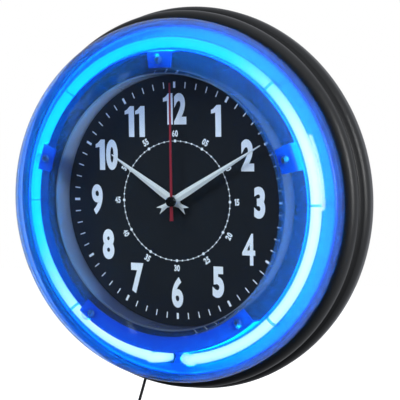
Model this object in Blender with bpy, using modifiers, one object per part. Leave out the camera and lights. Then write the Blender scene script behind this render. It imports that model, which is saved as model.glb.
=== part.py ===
"""Neon wall clock: ribbed case, ring lens over a glass tube, quartz movement and low-voltage lead.

The row frame has +Z up and +Y into the wall, with its origin at the seat of the hanging slot.
Everything is modelled in the clock's own frame: X to the right, Y up the dial and Z out of the
wall, with Z = 0 on the plane that the case rests against. One empty turns it upright.
"""
import bpy
import bmesh
from math import atan2, cos, degrees, pi, radians, sin
from mathutils import Matrix, Vector

# ---------------------------------------------------------------- driving dimensions (metres)
HANG_RISE = 0.120            # hanging slot's seat above the dial's centre
FIT_GAP = 0.0003             # clearance between pieces that rest on or in each other
BIG_SIDES = 44
SMALL_SIDES = 16
TINY_SIDES = 8
OVERLAP = 0.0005             # of a piece into the one it is joined to or cuts

# case
CASE_RADIUS = 0.1905         # over the rear bead
CASE_WALL = 0.0025
BEAD_HEIGHT = 0.0170         # rear bead's widest point above the wall plane
BEAD_ROUND = 0.0090
BACK_EDGE = ((0.0009, 0.0090), (0.0033, 0.0026), (0.0052, 0.0))  # inset and height of its turn
RIDGE_INSET = 0.0047         # of the front ridge's widest point within the bead's
RIDGE_DROP = 0.0045          # of the same point below the ledge
RIDGE_ROUND = 0.0093
GROOVE_DEPTH = 0.0083        # groove between bead and ridge, below the bead
GROOVE_RISE = 0.0010         # of the groove above the middle between bead and ridge
LEDGE_HEIGHT = 0.0430        # front face of the inner ledge that carries the panel
LEDGE_INSET = 0.0147         # of the ledge's outer edge within the bead
LEDGE_BORE = 0.1500
COVER_LEDGE_BORE = 0.0680
COVER_LEDGE_WIDTH = 0.0140
COVER_RECESS = 0.0030

# rear cover
COVER_THICKNESS = 0.0025
COVER_WINDOW = 0.0620
COVER_SCREW_CIRCLE = 0.0750
COVER_SCREW_COUNT = 3
COVER_SCREW_RADIUS = 0.0015
COVER_SCREW_HEAD = 0.0030
COVER_SCREW_LENGTH = 0.0075
COVER_SCREW_ANGLE = 60.0

# hanging plate
HANGER_WIDTH = 0.0400
HANGER_HEIGHT = 0.0300
HANGER_THICKNESS = 0.0015
SLOT_WIDTH = 0.0050
SLOT_ENTRY_RADIUS = 0.0050
SLOT_LENGTH = 0.0100         # entry circle's centre to the seat
CASE_SLOT_MARGIN = 0.0012

# panel, dial, glass
PANEL_THICKNESS = 0.0030
PANEL_RADIUS = 0.1640
DIAL_THICKNESS = 0.0014
DIAL_RADIUS = 0.1232
DIAL_RING_WALL = 0.0020
DIAL_RING_HEIGHT = 0.0232    # over the panel
GLASS_THICKNESS = 0.0020
BUSH_HOLE_MARGIN = 0.0003

# lens
LENS_WALL = 0.0025
LENS_CREST_RADIUS = 0.1400   # ring radius at the crest of the lens
LENS_ROUND = 0.0380
LENS_SHOULDER_REACH = 0.0113   # inward from the crest to where its round starts
LENS_EQUATOR_RISE = 0.0100   # of its widest point above the ledge
LENS_FOOT_MARGIN = 0.0015    # round the dial
LENS_RIM_MARGIN = 0.0055
LENS_UNDERCUT = 0.0065       # round below the widest point, down to the skirt
LENS_UNDERCUT_ANGLE = 60.0
LENS_SCREW_COUNT = 5
LENS_SCREW_CIRCLE = 0.1370
LENS_SCREW_HEAD = 0.0040
LENS_SCREW_HEAD_HEIGHT = 0.0025
LENS_SCREW_RADIUS = 0.0016
LENS_SCREW_LENGTH = 0.0100
LENS_SCREW_TAPER = 0.7       # of the head's front to its seat
LENS_SEAT_RISE = 0.0030      # of the screw's seat above the boss's foot
LENS_BOSS_WALL = 0.0012
LENS_BOSS_DROP = 0.0020      # of the boss's top below the crest
SCREW_CLEARANCE = 0.0004

# reflector
REFLECTOR_WALL = 0.0015
SHELF_RISE = 0.0330          # of the shelf above the ledge
SHELF_MARGIN = 0.0063        # of the shelf's inner edge round the dial
SLOPE_RUN = 0.0025           # from the shelf's outer edge out to the slope's foot
SLOPE_CLEARANCE = 0.00125    # between the slope's foot and the tube
SLOPE_TURN_RISE = 0.0030
SLOPE_TURN_RUN = 0.0040
REFLECTOR_RADIUS = 0.1705
REFLECTOR_LIP = 0.0020       # rise of each of the rim's two steps
WINDOW_BASE_RISE = 0.0110    # above the ledge
TAB_WIDTH = 0.0250

# neon tube
TUBE_RADIUS = 0.00625
TUBE_CIRCLE = 0.1540
TUBE_RISE = 0.0197           # of the tube's centre line above the ledge
TUBE_BEND = 0.0140
TUBE_END_HALF_GAP = 0.0107   # centre line of each turned-back end from the middle of the gap
TUBE_END_DROP = 0.0030       # of the tube's ends below the ledge
BOOT_WALL = 0.00225
BOOT_RISE = 0.0070           # of the boot's top above the ledge
BOOT_LENGTH = 0.0200
CLIP_WALL = 0.0013
CLIP_WIDTH = 0.0025
CLIP_STEM_HALF = 0.0032
CLIP_ANGLES = (45.0, 90.0, 135.0, 225.0, 270.0, 315.0)

# tube driver and its leads
DRIVER_SIZE = (0.0800, 0.0400, 0.0240)
DRIVER_CENTRE = (0.0, -0.1220)
DRIVER_BASE = 0.0031
HT_LEAD_RADIUS = 0.0020
HT_ENTRY_X = 0.0220
HT_ENTRY_HEIGHT = 0.0160
HT_FALL = 0.0057             # straight fall of each lead below its boot
HT_TURN = 0.0030             # sideways run of each turn of the lead
HT_TURN_RISE = 0.0025
DRIVER_ROUND = 0.0020

# movement
MOVEMENT_SIZE = 0.0560
MOVEMENT_WALL = 0.0012
MOVEMENT_DEPTH = 0.0140
WASHER_THICKNESS = 0.0006
WASHER_RADIUS = 0.0090
BAY_TOP = -0.0120
BUSH_RADIUS = 0.0040
BUSH_BORE = 0.00295
BUSH_LENGTH = 0.0100         # from the movement's front inner face
NUT_ACROSS_FLATS = 0.0120
NUT_THICKNESS = 0.0020
NUT_CLEARANCE = 0.00015
ARBOR_RADIUS = 0.0005
PIVOT_CLEARANCE = 0.0003
BATTERY_RADIUS = 0.0071
BATTERY_LENGTH = 0.0495
BATTERY_NUB_RADIUS = 0.0027
BATTERY_NUB_LENGTH = 0.0010
BATTERY_SIDES = 20
BATTERY_SHIFT = 0.0002       # towards the flat contact
CONTACT_THICKNESS = 0.0004
CONTACT_HALF = 0.0050
STATOR_HALF = 0.0150
STATOR_BAR_RISE = 0.0094     # of the coil's bar above the rotor's centre
STATOR_FOOT_RISE = 0.0014    # of the stator's lower edge above the intermediate wheel's centre
STATOR_BAR_HALF = 0.0010
STATOR_THICKNESS = 0.0008
STATOR_ROTOR_GAP = 0.0004
STATOR_WINDOW_HALF = 0.0115
STATOR_WINDOW_DEPTH = 0.0042
COIL_BOBBIN_RADIUS = 0.0030
COIL_BOBBIN_BORE = 0.0015
COIL_BOBBIN_HALF = 0.0105
BOARD_FOOT = 0.0100
BOARD_DROP = 0.0060          # of the board's face below the train plate's
BOARD_THICKNESS = 0.0010
BOARD_GAP = 0.0008           # between board and stator
PLATE_MARGIN = 0.0035        # of the train plate past the rotor's centre
HOUR_PIPE_BORE = 0.0019
HOUR_PIPE_RADIUS = 0.0026
MINUTE_PIPE_BORE = 0.00075
MINUTE_PIPE_RADIUS = 0.0016
HAND_BORE_CLEARANCE = 0.00015

# wheels: teeth of wheel and pinion, and module, for each mesh
WHEEL_THICKNESS = 0.0008
CANNON_TEETH = 10
MOTION_TEETH = 30
MOTION_PINION_TEETH = 8
HOUR_TEETH = 32
SETTING_TEETH = 15
CENTRE_TEETH = 48
THIRD_PINION_TEETH = 6
THIRD_TEETH = 45
SECOND_PINION_TEETH = 6
SECOND_TEETH = 30
INTERMEDIATE_PINION_TEETH = 6
INTERMEDIATE_TEETH = 36
ROTOR_PINION_TEETH = 6
MOTION_MODULE = 0.00045
GOING_MODULE = 0.00030
SECOND_MODULE = 0.00046
ROTOR_MODULE = 0.00028
TOOTH_ADDENDUM = 0.75        # in modules
TOOTH_DEDENDUM = 1.25
ROTOR_RADIUS = 0.0030
ROTOR_HEIGHT = 0.0020
KNOB_RADIUS = 0.0060
KNOB_HEIGHT = 0.0030
KNOB_SHAFT_RADIUS = 0.0015
KNOB_FLUTES = 18
KNOB_FLUTE_DEPTH = 0.0004

# hands: angles are clockwise from twelve, as seen from the front
HAND_THICKNESS = 0.0007
PIPE_REACH = 0.0011          # of a pipe past the back of the hand it carries
HOUR_HAND_ANGLE = 303.0
MINUTE_HAND_ANGLE = 60.0
SECOND_HAND_ANGLE = 0.0
HOUR_HAND_SHORT = 0.0402     # of the dial's edge
HOUR_HAND_TAIL = 0.0170
HOUR_HAND_WIDTH = 0.0080
HOUR_HUB_RADIUS = 0.0052
MINUTE_HAND_SHORT = 0.0142
MINUTE_HAND_TAIL = 0.0190
MINUTE_HAND_WIDTH = 0.0075
MINUTE_HUB_RADIUS = 0.0045
SECOND_HAND_SHORT = 0.0082
SECOND_HAND_TAIL = 0.0190
SECOND_HAND_WIDTH = 0.0026
HAND_TIP_HALF = 0.0004
HAND_SHOULDER = 0.18         # widest point, as a share of the hand's length
HAND_NOTCH = 0.72            # depth of the fork's notch, as a share of the tail
HAND_WAIST = (0.62, 0.45)    # shares of the half width and of the tail
NEEDLE_TAIL_SPREAD = 1.6     # of the needle's half width
HOUR_HAND_LIFT = 0.0042      # above the dial's face
MINUTE_HAND_LIFT = 0.0070
SECOND_HAND_LIFT = 0.0096
CAP_RADIUS = 0.0050
CAP_HEIGHT = 0.0045
CAP_TAPER = 0.9
CAP_SIDES = 20

# lead, coil and adapter
LEAD_RADIUS = 0.0015
GLAND_ANGLE = 198.0
GLAND_HEIGHT = 0.0072
GLAND_SIDES = 12
GLAND_INSET = 0.0010         # of its outer end within the bead
GLAND_LENGTH = 0.0095
GLAND_RADIUS = 0.0034
GLAND_TIP_RADIUS = 0.0024
GLAND_FLANGE_RADIUS = 0.0042
GLAND_FLANGE_THICKNESS = 0.0020
LEAD_REACH = 0.0225          # straight run out of the gland before the lead hangs
LEAD_BENDS = (0.0065, 0.0140)  # points on that run
LEAD_FALL = ((-0.0031, -0.0205, 0.0073), (-0.0058, -0.0295, 0.0075), (-0.0078, -0.0380, 0.0080),
             (-0.0090, -0.0455, 0.0084))  # across from the run's end, below the rim, off the wall
TAIL_FALL = ((-0.0094, -0.0865, 0.0096), (-0.0086, -0.0910, 0.0128), (-0.0077, -0.0955, 0.0158))
COIL_OUTER = 0.0240
COIL_INNER = 0.0115
COIL_DEPTH = 0.0130
COIL_EDGE = 0.0030           # flat across each edge of the coil
COIL_SIDES = 32
COIL_PLACE = (0.0095, -0.0655, 0.0085)
COIL_MEET = (-0.0190, 0.0169)  # where the lead meets it, from its centre
ADAPTER_SIZE = (0.0400, 0.0580, 0.0260)
ADAPTER_PLACE = (-0.0073, -0.1038, 0.0170)
ADAPTER_ROUND = 0.0040
ADAPTER_ENTRY = 0.0040       # straight run of the lead above the adapter
BLADE_SIZE = (0.00635, 0.0015, 0.0165)
BLADE_SPACING = 0.0127
BLADE_RISE = 0.0180          # of the blades above the adapter's lower end
INNER_RUN = 0.0080           # straight run of the lead inside the gland
INNER_ROUTE = ((-0.0520, -0.1500, 0.0085), (-0.0520, -0.1390, 0.0105), (-0.0505, -0.1300, 0.0120),
               (-0.0460, -0.1250, 0.0120))
INNER_ENTRY = (-0.1242, 0.0120)  # height and level at which it enters the driver

# ---------------------------------------------------------------- levels that follow from them
RIDGE_RADIUS = CASE_RADIUS - RIDGE_INSET
RIDGE_HEIGHT = LEDGE_HEIGHT - RIDGE_DROP
LENS_EQUATOR_HEIGHT = LEDGE_HEIGHT + LENS_EQUATOR_RISE
LENS_FOOT_RADIUS = DIAL_RADIUS + LENS_FOOT_MARGIN
LENS_RIM_RADIUS = DIAL_RADIUS + LENS_RIM_MARGIN
SHELF_HEIGHT = LEDGE_HEIGHT + SHELF_RISE
SHELF_INNER_RADIUS = DIAL_RADIUS + SHELF_MARGIN
SLOPE_FOOT_RADIUS = TUBE_CIRCLE - TUBE_RADIUS - SLOPE_CLEARANCE
SHELF_OUTER_RADIUS = SLOPE_FOOT_RADIUS - SLOPE_RUN
WINDOW_BASE_HEIGHT = LEDGE_HEIGHT + WINDOW_BASE_RISE
TUBE_HEIGHT = LEDGE_HEIGHT + TUBE_RISE
TUBE_END_HEIGHT = LEDGE_HEIGHT - TUBE_END_DROP
BOOT_RADIUS = TUBE_RADIUS + BOOT_WALL
BOOT_TOP = LEDGE_HEIGHT + BOOT_RISE
BOOT_BASE = BOOT_TOP - BOOT_LENGTH
HOUR_HAND_LENGTH = DIAL_RADIUS - HOUR_HAND_SHORT
MINUTE_HAND_LENGTH = DIAL_RADIUS - MINUTE_HAND_SHORT
SECOND_HAND_LENGTH = DIAL_RADIUS - SECOND_HAND_SHORT
GLAND_OUTER_END = CASE_RADIUS - GLAND_INSET
GLAND_INNER_END = GLAND_OUTER_END - GLAND_LENGTH
PANEL_BASE = LEDGE_HEIGHT + FIT_GAP
PANEL_FACE = PANEL_BASE + PANEL_THICKNESS
DIAL_BASE = PANEL_FACE + FIT_GAP
DIAL_FACE = DIAL_BASE + DIAL_THICKNESS
DIAL_RING_BORE = DIAL_RADIUS + FIT_GAP
DIAL_RING_TOP = PANEL_FACE + FIT_GAP + DIAL_RING_HEIGHT
GLASS_BASE = DIAL_RING_TOP + FIT_GAP
GLASS_FACE = GLASS_BASE + GLASS_THICKNESS
GLASS_RADIUS = DIAL_RING_BORE + DIAL_RING_WALL
WASHER_BASE = PANEL_BASE - FIT_GAP - WASHER_THICKNESS
MOVEMENT_FACE = WASHER_BASE - FIT_GAP
MOVEMENT_INNER = MOVEMENT_FACE - MOVEMENT_WALL
MOVEMENT_BASE = MOVEMENT_FACE - MOVEMENT_DEPTH
MOVEMENT_COVER_FACE = MOVEMENT_BASE - FIT_GAP
MOVEMENT_COVER_BASE = MOVEMENT_COVER_FACE - MOVEMENT_WALL
BUSH_TOP = MOVEMENT_INNER + BUSH_LENGTH

# wheel levels, from the movement's front inner face back
HOUR_WHEEL_FACE = MOVEMENT_INNER - 0.0005
MOTION_FACE = MOVEMENT_INNER - 0.0024
TRAIN_PLATE_FACE = MOVEMENT_INNER - 0.0040
TRAIN_PLATE_THICKNESS = 0.0006
CENTRE_FACE = MOVEMENT_INNER - 0.0054
THIRD_FACE = MOVEMENT_INNER - 0.0074
SECOND_FACE = MOVEMENT_INNER - 0.0092
INTERMEDIATE_FACE = MOVEMENT_INNER - 0.0108
PIVOT_TOP = TRAIN_PLATE_FACE - 0.0002
PIVOT_BASE = MOVEMENT_COVER_BASE + FIT_GAP
PINION_OVERHANG = 0.0003
PINION_REACH = 0.0002        # of the motion pinion past the hour wheel's face

HOUR_HAND_BASE = DIAL_FACE + HOUR_HAND_LIFT
MINUTE_HAND_BASE = DIAL_FACE + MINUTE_HAND_LIFT
SECOND_HAND_BASE = DIAL_FACE + SECOND_HAND_LIFT

# wheel centres on the movement
MOTION_DISTANCE = MOTION_MODULE * (CANNON_TEETH + MOTION_TEETH) / 2
HOUR_MODULE = 2 * MOTION_DISTANCE / (MOTION_PINION_TEETH + HOUR_TEETH)
SETTING_DISTANCE = MOTION_MODULE * (MOTION_TEETH + SETTING_TEETH) / 2
THIRD_DISTANCE = GOING_MODULE * (CENTRE_TEETH + THIRD_PINION_TEETH) / 2
THIRD_MODULE = 2 * THIRD_DISTANCE / (THIRD_TEETH + SECOND_PINION_TEETH)
INTERMEDIATE_DISTANCE = SECOND_MODULE * (SECOND_TEETH + INTERMEDIATE_PINION_TEETH) / 2
ROTOR_DISTANCE = ROTOR_MODULE * (INTERMEDIATE_TEETH + ROTOR_PINION_TEETH) / 2
CENTRE = (0.0, 0.0)
MOTION_CENTRE = (MOTION_DISTANCE, 0.0)
SETTING_CENTRE = (MOTION_DISTANCE + SETTING_DISTANCE, 0.0)
THIRD_CENTRE = (-THIRD_DISTANCE, 0.0)
INTERMEDIATE_CENTRE = (0.0, INTERMEDIATE_DISTANCE)
ROTOR_CENTRE = (0.0, INTERMEDIATE_DISTANCE + ROTOR_DISTANCE)


# ---------------------------------------------------------------- scene
def clear_scene():
    for existing in list(bpy.data.objects):
        bpy.data.objects.remove(existing, do_unlink=True)


def new_collection(name):
    collection = bpy.data.collections.new(name)
    bpy.context.scene.collection.children.link(collection)
    return collection


clear_scene()
PARTS = new_collection("neon_wall_clock")
CUTTERS = new_collection("cutters")
AXIS = bpy.data.objects.new("clock_axis", None)
AXIS.location = (0.0, 0.0, -HANG_RISE)
AXIS.rotation_euler = (pi / 2, 0.0, 0.0)
PARTS.objects.link(AXIS)


def finish(name, colour, roughness, metallic=0.0, alpha=1.0, glow=0.0):
    """A Principled material in the piece's own colour."""
    made = bpy.data.materials.new(name)
    made.use_nodes = True
    shader = made.node_tree.nodes["Principled BSDF"]
    shader.inputs["Base Color"].default_value = (*colour, 1.0)
    shader.inputs["Roughness"].default_value = roughness
    shader.inputs["Metallic"].default_value = metallic
    shader.inputs["Alpha"].default_value = alpha
    shader.inputs["Emission Color"].default_value = (*colour, 1.0)
    shader.inputs["Emission Strength"].default_value = glow
    made.diffuse_color = (*colour, alpha)
    return made


def add_part(name, mesh, material=None, at=(0.0, 0.0, 0.0)):
    """Put a mesh in the object's collection, or among the cutters when it has no material."""
    made = bpy.data.objects.new(name, mesh)
    made.parent = AXIS
    made.location = at
    if material is None:
        CUTTERS.objects.link(made)
        made.hide_render = True
        made.display_type = "WIRE"
    else:
        PARTS.objects.link(made)
        mesh.materials.append(material)
    return made


# ---------------------------------------------------------------- shapes
def mesh_from(work, name):
    made = bpy.data.meshes.new(name)
    work.to_mesh(made)
    work.free()
    return made


def profile_mesh(name, points, closed):
    made = bpy.data.meshes.new(name)
    count = len(points)
    edges = [(i, i + 1) for i in range(count - 1)]
    if closed:
        edges.append((count - 1, 0))
    made.from_pydata([(radius, 0.0, height) for radius, height in points], edges, [])
    return made


def turn(target, sides):
    """Turn a profile about Z through a full circle."""
    screw = target.modifiers.new("turn", "SCREW")
    screw.axis = "Z"
    screw.angle = 2 * pi
    screw.steps = sides
    screw.render_steps = sides
    screw.use_merge_vertices = True
    screw.merge_threshold = 0.00001
    screw.use_smooth_shade = True


def turned_ring(name, points, material=None, at=(0.0, 0.0, 0.0), sides=BIG_SIDES):
    """A ring whose closed profile runs down its outer side and up its bore."""
    made = add_part(name, profile_mesh(name, points, True), material, at)
    turn(made, sides)
    return made


def turned_shell(name, points, wall, material, sides=BIG_SIDES):
    """An open profile turned about Z, with its wall behind the side that shows."""
    made = add_part(name, profile_mesh(name, points, False), material)
    turn(made, sides)
    wall_modifier = made.modifiers.new("wall", "SOLIDIFY")
    wall_modifier.thickness = wall
    wall_modifier.offset = -1.0
    wall_modifier.use_even_offset = True
    return made


def ring_profile(outer, bore, base, top):
    return [(outer, top), (outer, base), (bore, base), (bore, top)]


def cylinder(name, radius, base, top, material=None, at=(0.0, 0.0), sides=SMALL_SIDES, tip=None):
    """A cylinder or cone from base to top, standing on its axis at a point of the dial plane."""
    work = bmesh.new()
    tip_radius = radius if tip is None else tip
    bmesh.ops.create_cone(work, cap_ends=True, segments=sides, radius1=radius,
                          radius2=tip_radius, depth=top - base)
    bmesh.ops.translate(work, verts=work.verts, vec=(0.0, 0.0, (base + top) / 2))
    return add_part(name, mesh_from(work, name), material, (at[0], at[1], 0.0))


def block(name, low, high, material=None, bevel=0.0):
    """A box between two corners, with rounded edges when it has a bevel."""
    work = bmesh.new()
    bmesh.ops.create_cube(work, size=1.0)
    size = [high[i] - low[i] for i in range(3)]
    bmesh.ops.scale(work, verts=work.verts, vec=size)
    centre = [(high[i] + low[i]) / 2 for i in range(3)]
    bmesh.ops.translate(work, verts=work.verts, vec=centre)
    made = add_part(name, mesh_from(work, name), material)
    if bevel:
        rounding = made.modifiers.new("rounding", "BEVEL")
        rounding.width = bevel
        rounding.segments = 2
    return made


def plate(name, loops, base, top, material=None, at=(0.0, 0.0)):
    """A flat outline, with any holes, extruded from base to top."""
    outline = bpy.data.curves.new(name, "CURVE")
    outline.dimensions = "2D"
    outline.fill_mode = "BOTH"
    outline.extrude = (top - base) / 2
    for loop in loops:
        spline = outline.splines.new("POLY")
        spline.points.add(len(loop) - 1)
        for point, (x, y) in zip(spline.points, loop):
            point.co = (x, y, 0.0, 1.0)
        spline.use_cyclic_u = True
    source = bpy.data.objects.new(name + "_outline", outline)
    bpy.context.scene.collection.objects.link(source)
    bpy.context.view_layer.update()
    evaluated = source.evaluated_get(bpy.context.evaluated_depsgraph_get())
    made = bpy.data.meshes.new_from_object(evaluated)
    work = bmesh.new()
    work.from_mesh(made)
    bmesh.ops.remove_doubles(work, verts=work.verts, dist=0.000001)
    bmesh.ops.translate(work, verts=work.verts, vec=(0.0, 0.0, (base + top) / 2))
    bpy.data.objects.remove(source, do_unlink=True)
    bpy.data.curves.remove(outline)
    bpy.data.meshes.remove(made)
    return add_part(name, mesh_from(work, name), material, (at[0], at[1], 0.0))


def rod(name, points, radius, material):
    """A round rod, wire or tube along a route, with closed ends."""
    route = bpy.data.curves.new(name, "CURVE")
    route.dimensions = "3D"
    route.bevel_depth = radius
    route.bevel_resolution = 2
    route.use_fill_caps = True
    spline = route.splines.new("POLY")
    spline.points.add(len(points) - 1)
    for point, place in zip(spline.points, points):
        point.co = (*place, 1.0)
    made = bpy.data.objects.new(name, route)
    made.parent = AXIS
    PARTS.objects.link(made)
    route.materials.append(material)
    return made


def smooth_route(points, steps):
    """Points of a Catmull-Rom curve that passes through a route's own points."""
    places = [Vector(point) for point in points]
    padded = [2 * places[0] - places[1], *places, 2 * places[-1] - places[-2]]
    route = []
    for i in range(1, len(padded) - 2):
        before, start, end, after = padded[i - 1:i + 3]
        for step in range(steps):
            t = step / steps
            route.append(0.5 * (2 * start + (end - before) * t
                                + (2 * before - 5 * start + 4 * end - after) * t * t
                                + (3 * start - before - 3 * end + after) * t * t * t))
    route.append(places[-1])
    return route


def stack(name, sections, levels, material, at=(0.0, 0.0), bore=None):
    """Nested outlines one on another between levels; the ring at each step closes the solid."""
    work = bmesh.new()

    def wall(outline, low, high):
        verts = [work.verts.new((x, y, low)) for x, y in outline]
        foot = [work.edges.new((verts[i - 1], verts[i])) for i in range(len(verts))]
        raised = bmesh.ops.extrude_edge_only(work, edges=foot)["geom"]
        top_verts = [item for item in raised if isinstance(item, bmesh.types.BMVert)]
        bmesh.ops.translate(work, verts=top_verts, vec=(0.0, 0.0, high - low))
        above = set(top_verts)
        head = [edge for edge in work.edges if above.issuperset(edge.verts)]
        return foot, head

    walls = [wall(outline, levels[i], levels[i + 1]) for i, outline in enumerate(sections)]
    ends = [[], []]
    if bore:
        ends = wall(circle(bore, SMALL_SIDES), levels[0], levels[-1])
    rims = [walls[0][0] + ends[0]]
    rims += [lower[1] + upper[0] for lower, upper in zip(walls, walls[1:])]
    rims += [walls[-1][1] + ends[1]]
    for rim in rims:
        bmesh.ops.triangle_fill(work, edges=rim, normal=(0.0, 0.0, 1.0))
    bmesh.ops.recalc_face_normals(work, faces=work.faces)
    return add_part(name, mesh_from(work, name), material, (at[0], at[1], 0.0))


def boolean(target, tool, operation):
    modifier = target.modifiers.new(operation.lower() + "_" + tool.name, "BOOLEAN")
    modifier.operation = operation
    modifier.object = tool
    modifier.solver = "EXACT"


def cut(target, *tools):
    for tool in tools:
        boolean(target, tool, "DIFFERENCE")


def join(target, *tools):
    for tool in tools:
        boolean(target, tool, "UNION")


def arc(centre, radius, start, end, steps):
    """Points of an arc in the profile's plane, angles in degrees from the outward direction."""
    angles = [radians(start + (end - start) * i / steps) for i in range(steps + 1)]
    return [(centre[0] + radius * cos(a), centre[1] + radius * sin(a)) for a in angles]


def circle(radius, sides, at=(0.0, 0.0)):
    return [(at[0] + radius * cos(2 * pi * i / sides), at[1] + radius * sin(2 * pi * i / sides))
            for i in range(sides)]


def clock_point(radius, angle):
    """A point on the dial plane at an angle clockwise from twelve."""
    return (radius * sin(radians(angle)), radius * cos(radians(angle)))


# ---------------------------------------------------------------- finishes
BLACK_ABS = finish("black_abs", (0.020, 0.021, 0.022), 0.38)
CLEAR_RING = finish("clear_ring", (0.70, 0.85, 1.0), 0.08, alpha=0.30)
CLEAR_LENS = finish("clear_lens", (0.55, 0.78, 1.0), 0.05, alpha=0.30)
CLEAR_GLASS = finish("clear_glass", (0.9, 0.95, 1.0), 0.02, alpha=0.20)
CLEAR_CLIP = finish("clear_clip", (0.45, 0.80, 1.0), 0.15, alpha=0.50)
BLUE_STYRENE = finish("blue_styrene", (0.01, 0.12, 0.72), 0.25)
NEON_BLUE = finish("neon_blue", (0.05, 0.45, 1.0), 0.10, glow=6.0)
BLACK_RUBBER = finish("black_rubber", (0.015, 0.015, 0.016), 0.75)
DIAL_BLACK = finish("dial_black", (0.016, 0.019, 0.027), 0.45)
HARDBOARD = finish("hardboard", (0.10, 0.07, 0.045), 0.8)
STEEL = finish("plated_steel", (0.62, 0.63, 0.65), 0.30, metallic=1.0)
BRASS = finish("brass", (0.72, 0.52, 0.22), 0.28, metallic=1.0)
SILVER_HAND = finish("satin_silver", (0.66, 0.68, 0.72), 0.28, metallic=1.0)
RED_HAND = finish("red_enamel", (0.25, 0.012, 0.02), 0.40)
ACETAL = finish("white_acetal", (0.78, 0.77, 0.72), 0.45)
COPPER = finish("copper_winding", (0.60, 0.26, 0.12), 0.35, metallic=1.0)
MAGNET = finish("ferrite_magnet", (0.06, 0.06, 0.065), 0.5)
BOARD_GREEN = finish("circuit_board", (0.03, 0.16, 0.07), 0.45)
CELL_LABEL = finish("battery_sleeve", (0.10, 0.10, 0.11), 0.35)
RED_SILICONE = finish("red_silicone", (0.45, 0.03, 0.02), 0.5)
BLACK_PVC = finish("black_pvc", (0.018, 0.018, 0.019), 0.5)


# ---------------------------------------------------------------- case and rear fittings
def case_outline():
    """Profile of the case's outside, from the ledge out over both ridges and in under the back."""
    ridge_centre = (RIDGE_RADIUS - RIDGE_ROUND, RIDGE_HEIGHT)
    bead_centre = (CASE_RADIUS - BEAD_ROUND, BEAD_HEIGHT)
    groove_height = (RIDGE_HEIGHT + BEAD_HEIGHT) / 2 + GROOVE_RISE
    cover_radius = COVER_LEDGE_BORE + COVER_LEDGE_WIDTH
    outline = [(LEDGE_BORE, LEDGE_HEIGHT), (CASE_RADIUS - LEDGE_INSET, LEDGE_HEIGHT)]
    outline += arc(ridge_centre, RIDGE_ROUND, 94, -32, 4)
    outline += [(CASE_RADIUS - GROOVE_DEPTH, groove_height)]
    outline += arc(bead_centre, BEAD_ROUND, 68, 0, 3)
    outline += [(CASE_RADIUS - inset, height) for inset, height in BACK_EDGE]
    outline += [(cover_radius, 0.0), (cover_radius, COVER_RECESS), (COVER_LEDGE_BORE, COVER_RECESS)]
    return outline


def keyhole(width, entry_radius, seat, entry):
    """Outline of a hanging slot: a round entry below a narrow neck that ends in the seat."""
    half = width / 2
    crown = [(half * cos(a), seat - half + half * sin(a)) for a in [pi * i / 6 for i in range(7)]]
    shoulder = atan2((entry_radius ** 2 - half ** 2) ** 0.5, half)
    sweep = 2 * pi - 2 * (pi / 2 - shoulder)
    bowl = []
    for i in range(11):
        angle = pi - shoulder + sweep * i / 10
        bowl.append((entry_radius * cos(angle), entry + entry_radius * sin(angle)))
    return crown + bowl


rear_case = turned_shell("rear_case", case_outline(), CASE_WALL, BLACK_ABS)

slot_entry = HANG_RISE - SLOT_LENGTH
case_slot = plate("case_slot", [keyhole(SLOT_WIDTH + 2 * CASE_SLOT_MARGIN,
                                        SLOT_ENTRY_RADIUS + CASE_SLOT_MARGIN,
                                        HANG_RISE + CASE_SLOT_MARGIN, slot_entry)],
                  -CASE_WALL, 2 * CASE_WALL)
cut(rear_case, case_slot)

hanger_base = CASE_WALL + FIT_GAP
hanger_middle = slot_entry + SLOT_LENGTH / 2
hanger_outline = [(-HANGER_WIDTH / 2, hanger_middle - HANGER_HEIGHT / 2),
                  (HANGER_WIDTH / 2, hanger_middle - HANGER_HEIGHT / 2),
                  (HANGER_WIDTH / 2, hanger_middle + HANGER_HEIGHT / 2),
                  (-HANGER_WIDTH / 2, hanger_middle + HANGER_HEIGHT / 2)]
plate("hanger_plate",
      [hanger_outline, keyhole(SLOT_WIDTH, SLOT_ENTRY_RADIUS, HANG_RISE, slot_entry)],
      hanger_base, hanger_base + HANGER_THICKNESS, STEEL)

cover_top = COVER_RECESS - FIT_GAP
cover_base = cover_top - COVER_THICKNESS
half_window = COVER_WINDOW / 2
window_outline = [(-half_window, -half_window), (half_window, -half_window),
                  (half_window, half_window), (-half_window, half_window)]
back_cover = plate("back_cover",
                   [circle(COVER_LEDGE_BORE + COVER_LEDGE_WIDTH - FIT_GAP, BIG_SIDES),
                    window_outline], cover_base, cover_top, BLACK_ABS)
for i in range(COVER_SCREW_COUNT):
    place = clock_point(COVER_SCREW_CIRCLE, COVER_SCREW_ANGLE + 360.0 * i / COVER_SCREW_COUNT)
    label = str(i + 1)
    cover_screw = cylinder("cover_screw_" + label, COVER_SCREW_HEAD, cover_base,
                           cover_base + COVER_SCREW_HEAD / 2, STEEL, place, TINY_SIDES,
                           COVER_SCREW_HEAD / 2)
    shank = cylinder("cover_shank_" + label, COVER_SCREW_RADIUS, cover_base + OVERLAP,
                     cover_base + COVER_SCREW_LENGTH, None, place, TINY_SIDES)
    join(cover_screw, shank)
    sink = cylinder("cover_sink_" + label, COVER_SCREW_HEAD + FIT_GAP + OVERLAP, cover_base - OVERLAP,
                    cover_base + COVER_SCREW_HEAD / 2 + FIT_GAP, None, place, TINY_SIDES,
                    COVER_SCREW_HEAD / 2 + FIT_GAP)
    hole = cylinder("cover_hole_" + label, COVER_SCREW_RADIUS + SCREW_CLEARANCE, OVERLAP,
                    COVER_RECESS + 2 * CASE_WALL, None, place, TINY_SIDES)
    cut(back_cover, sink, hole)
    cut(rear_case, hole)

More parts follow.
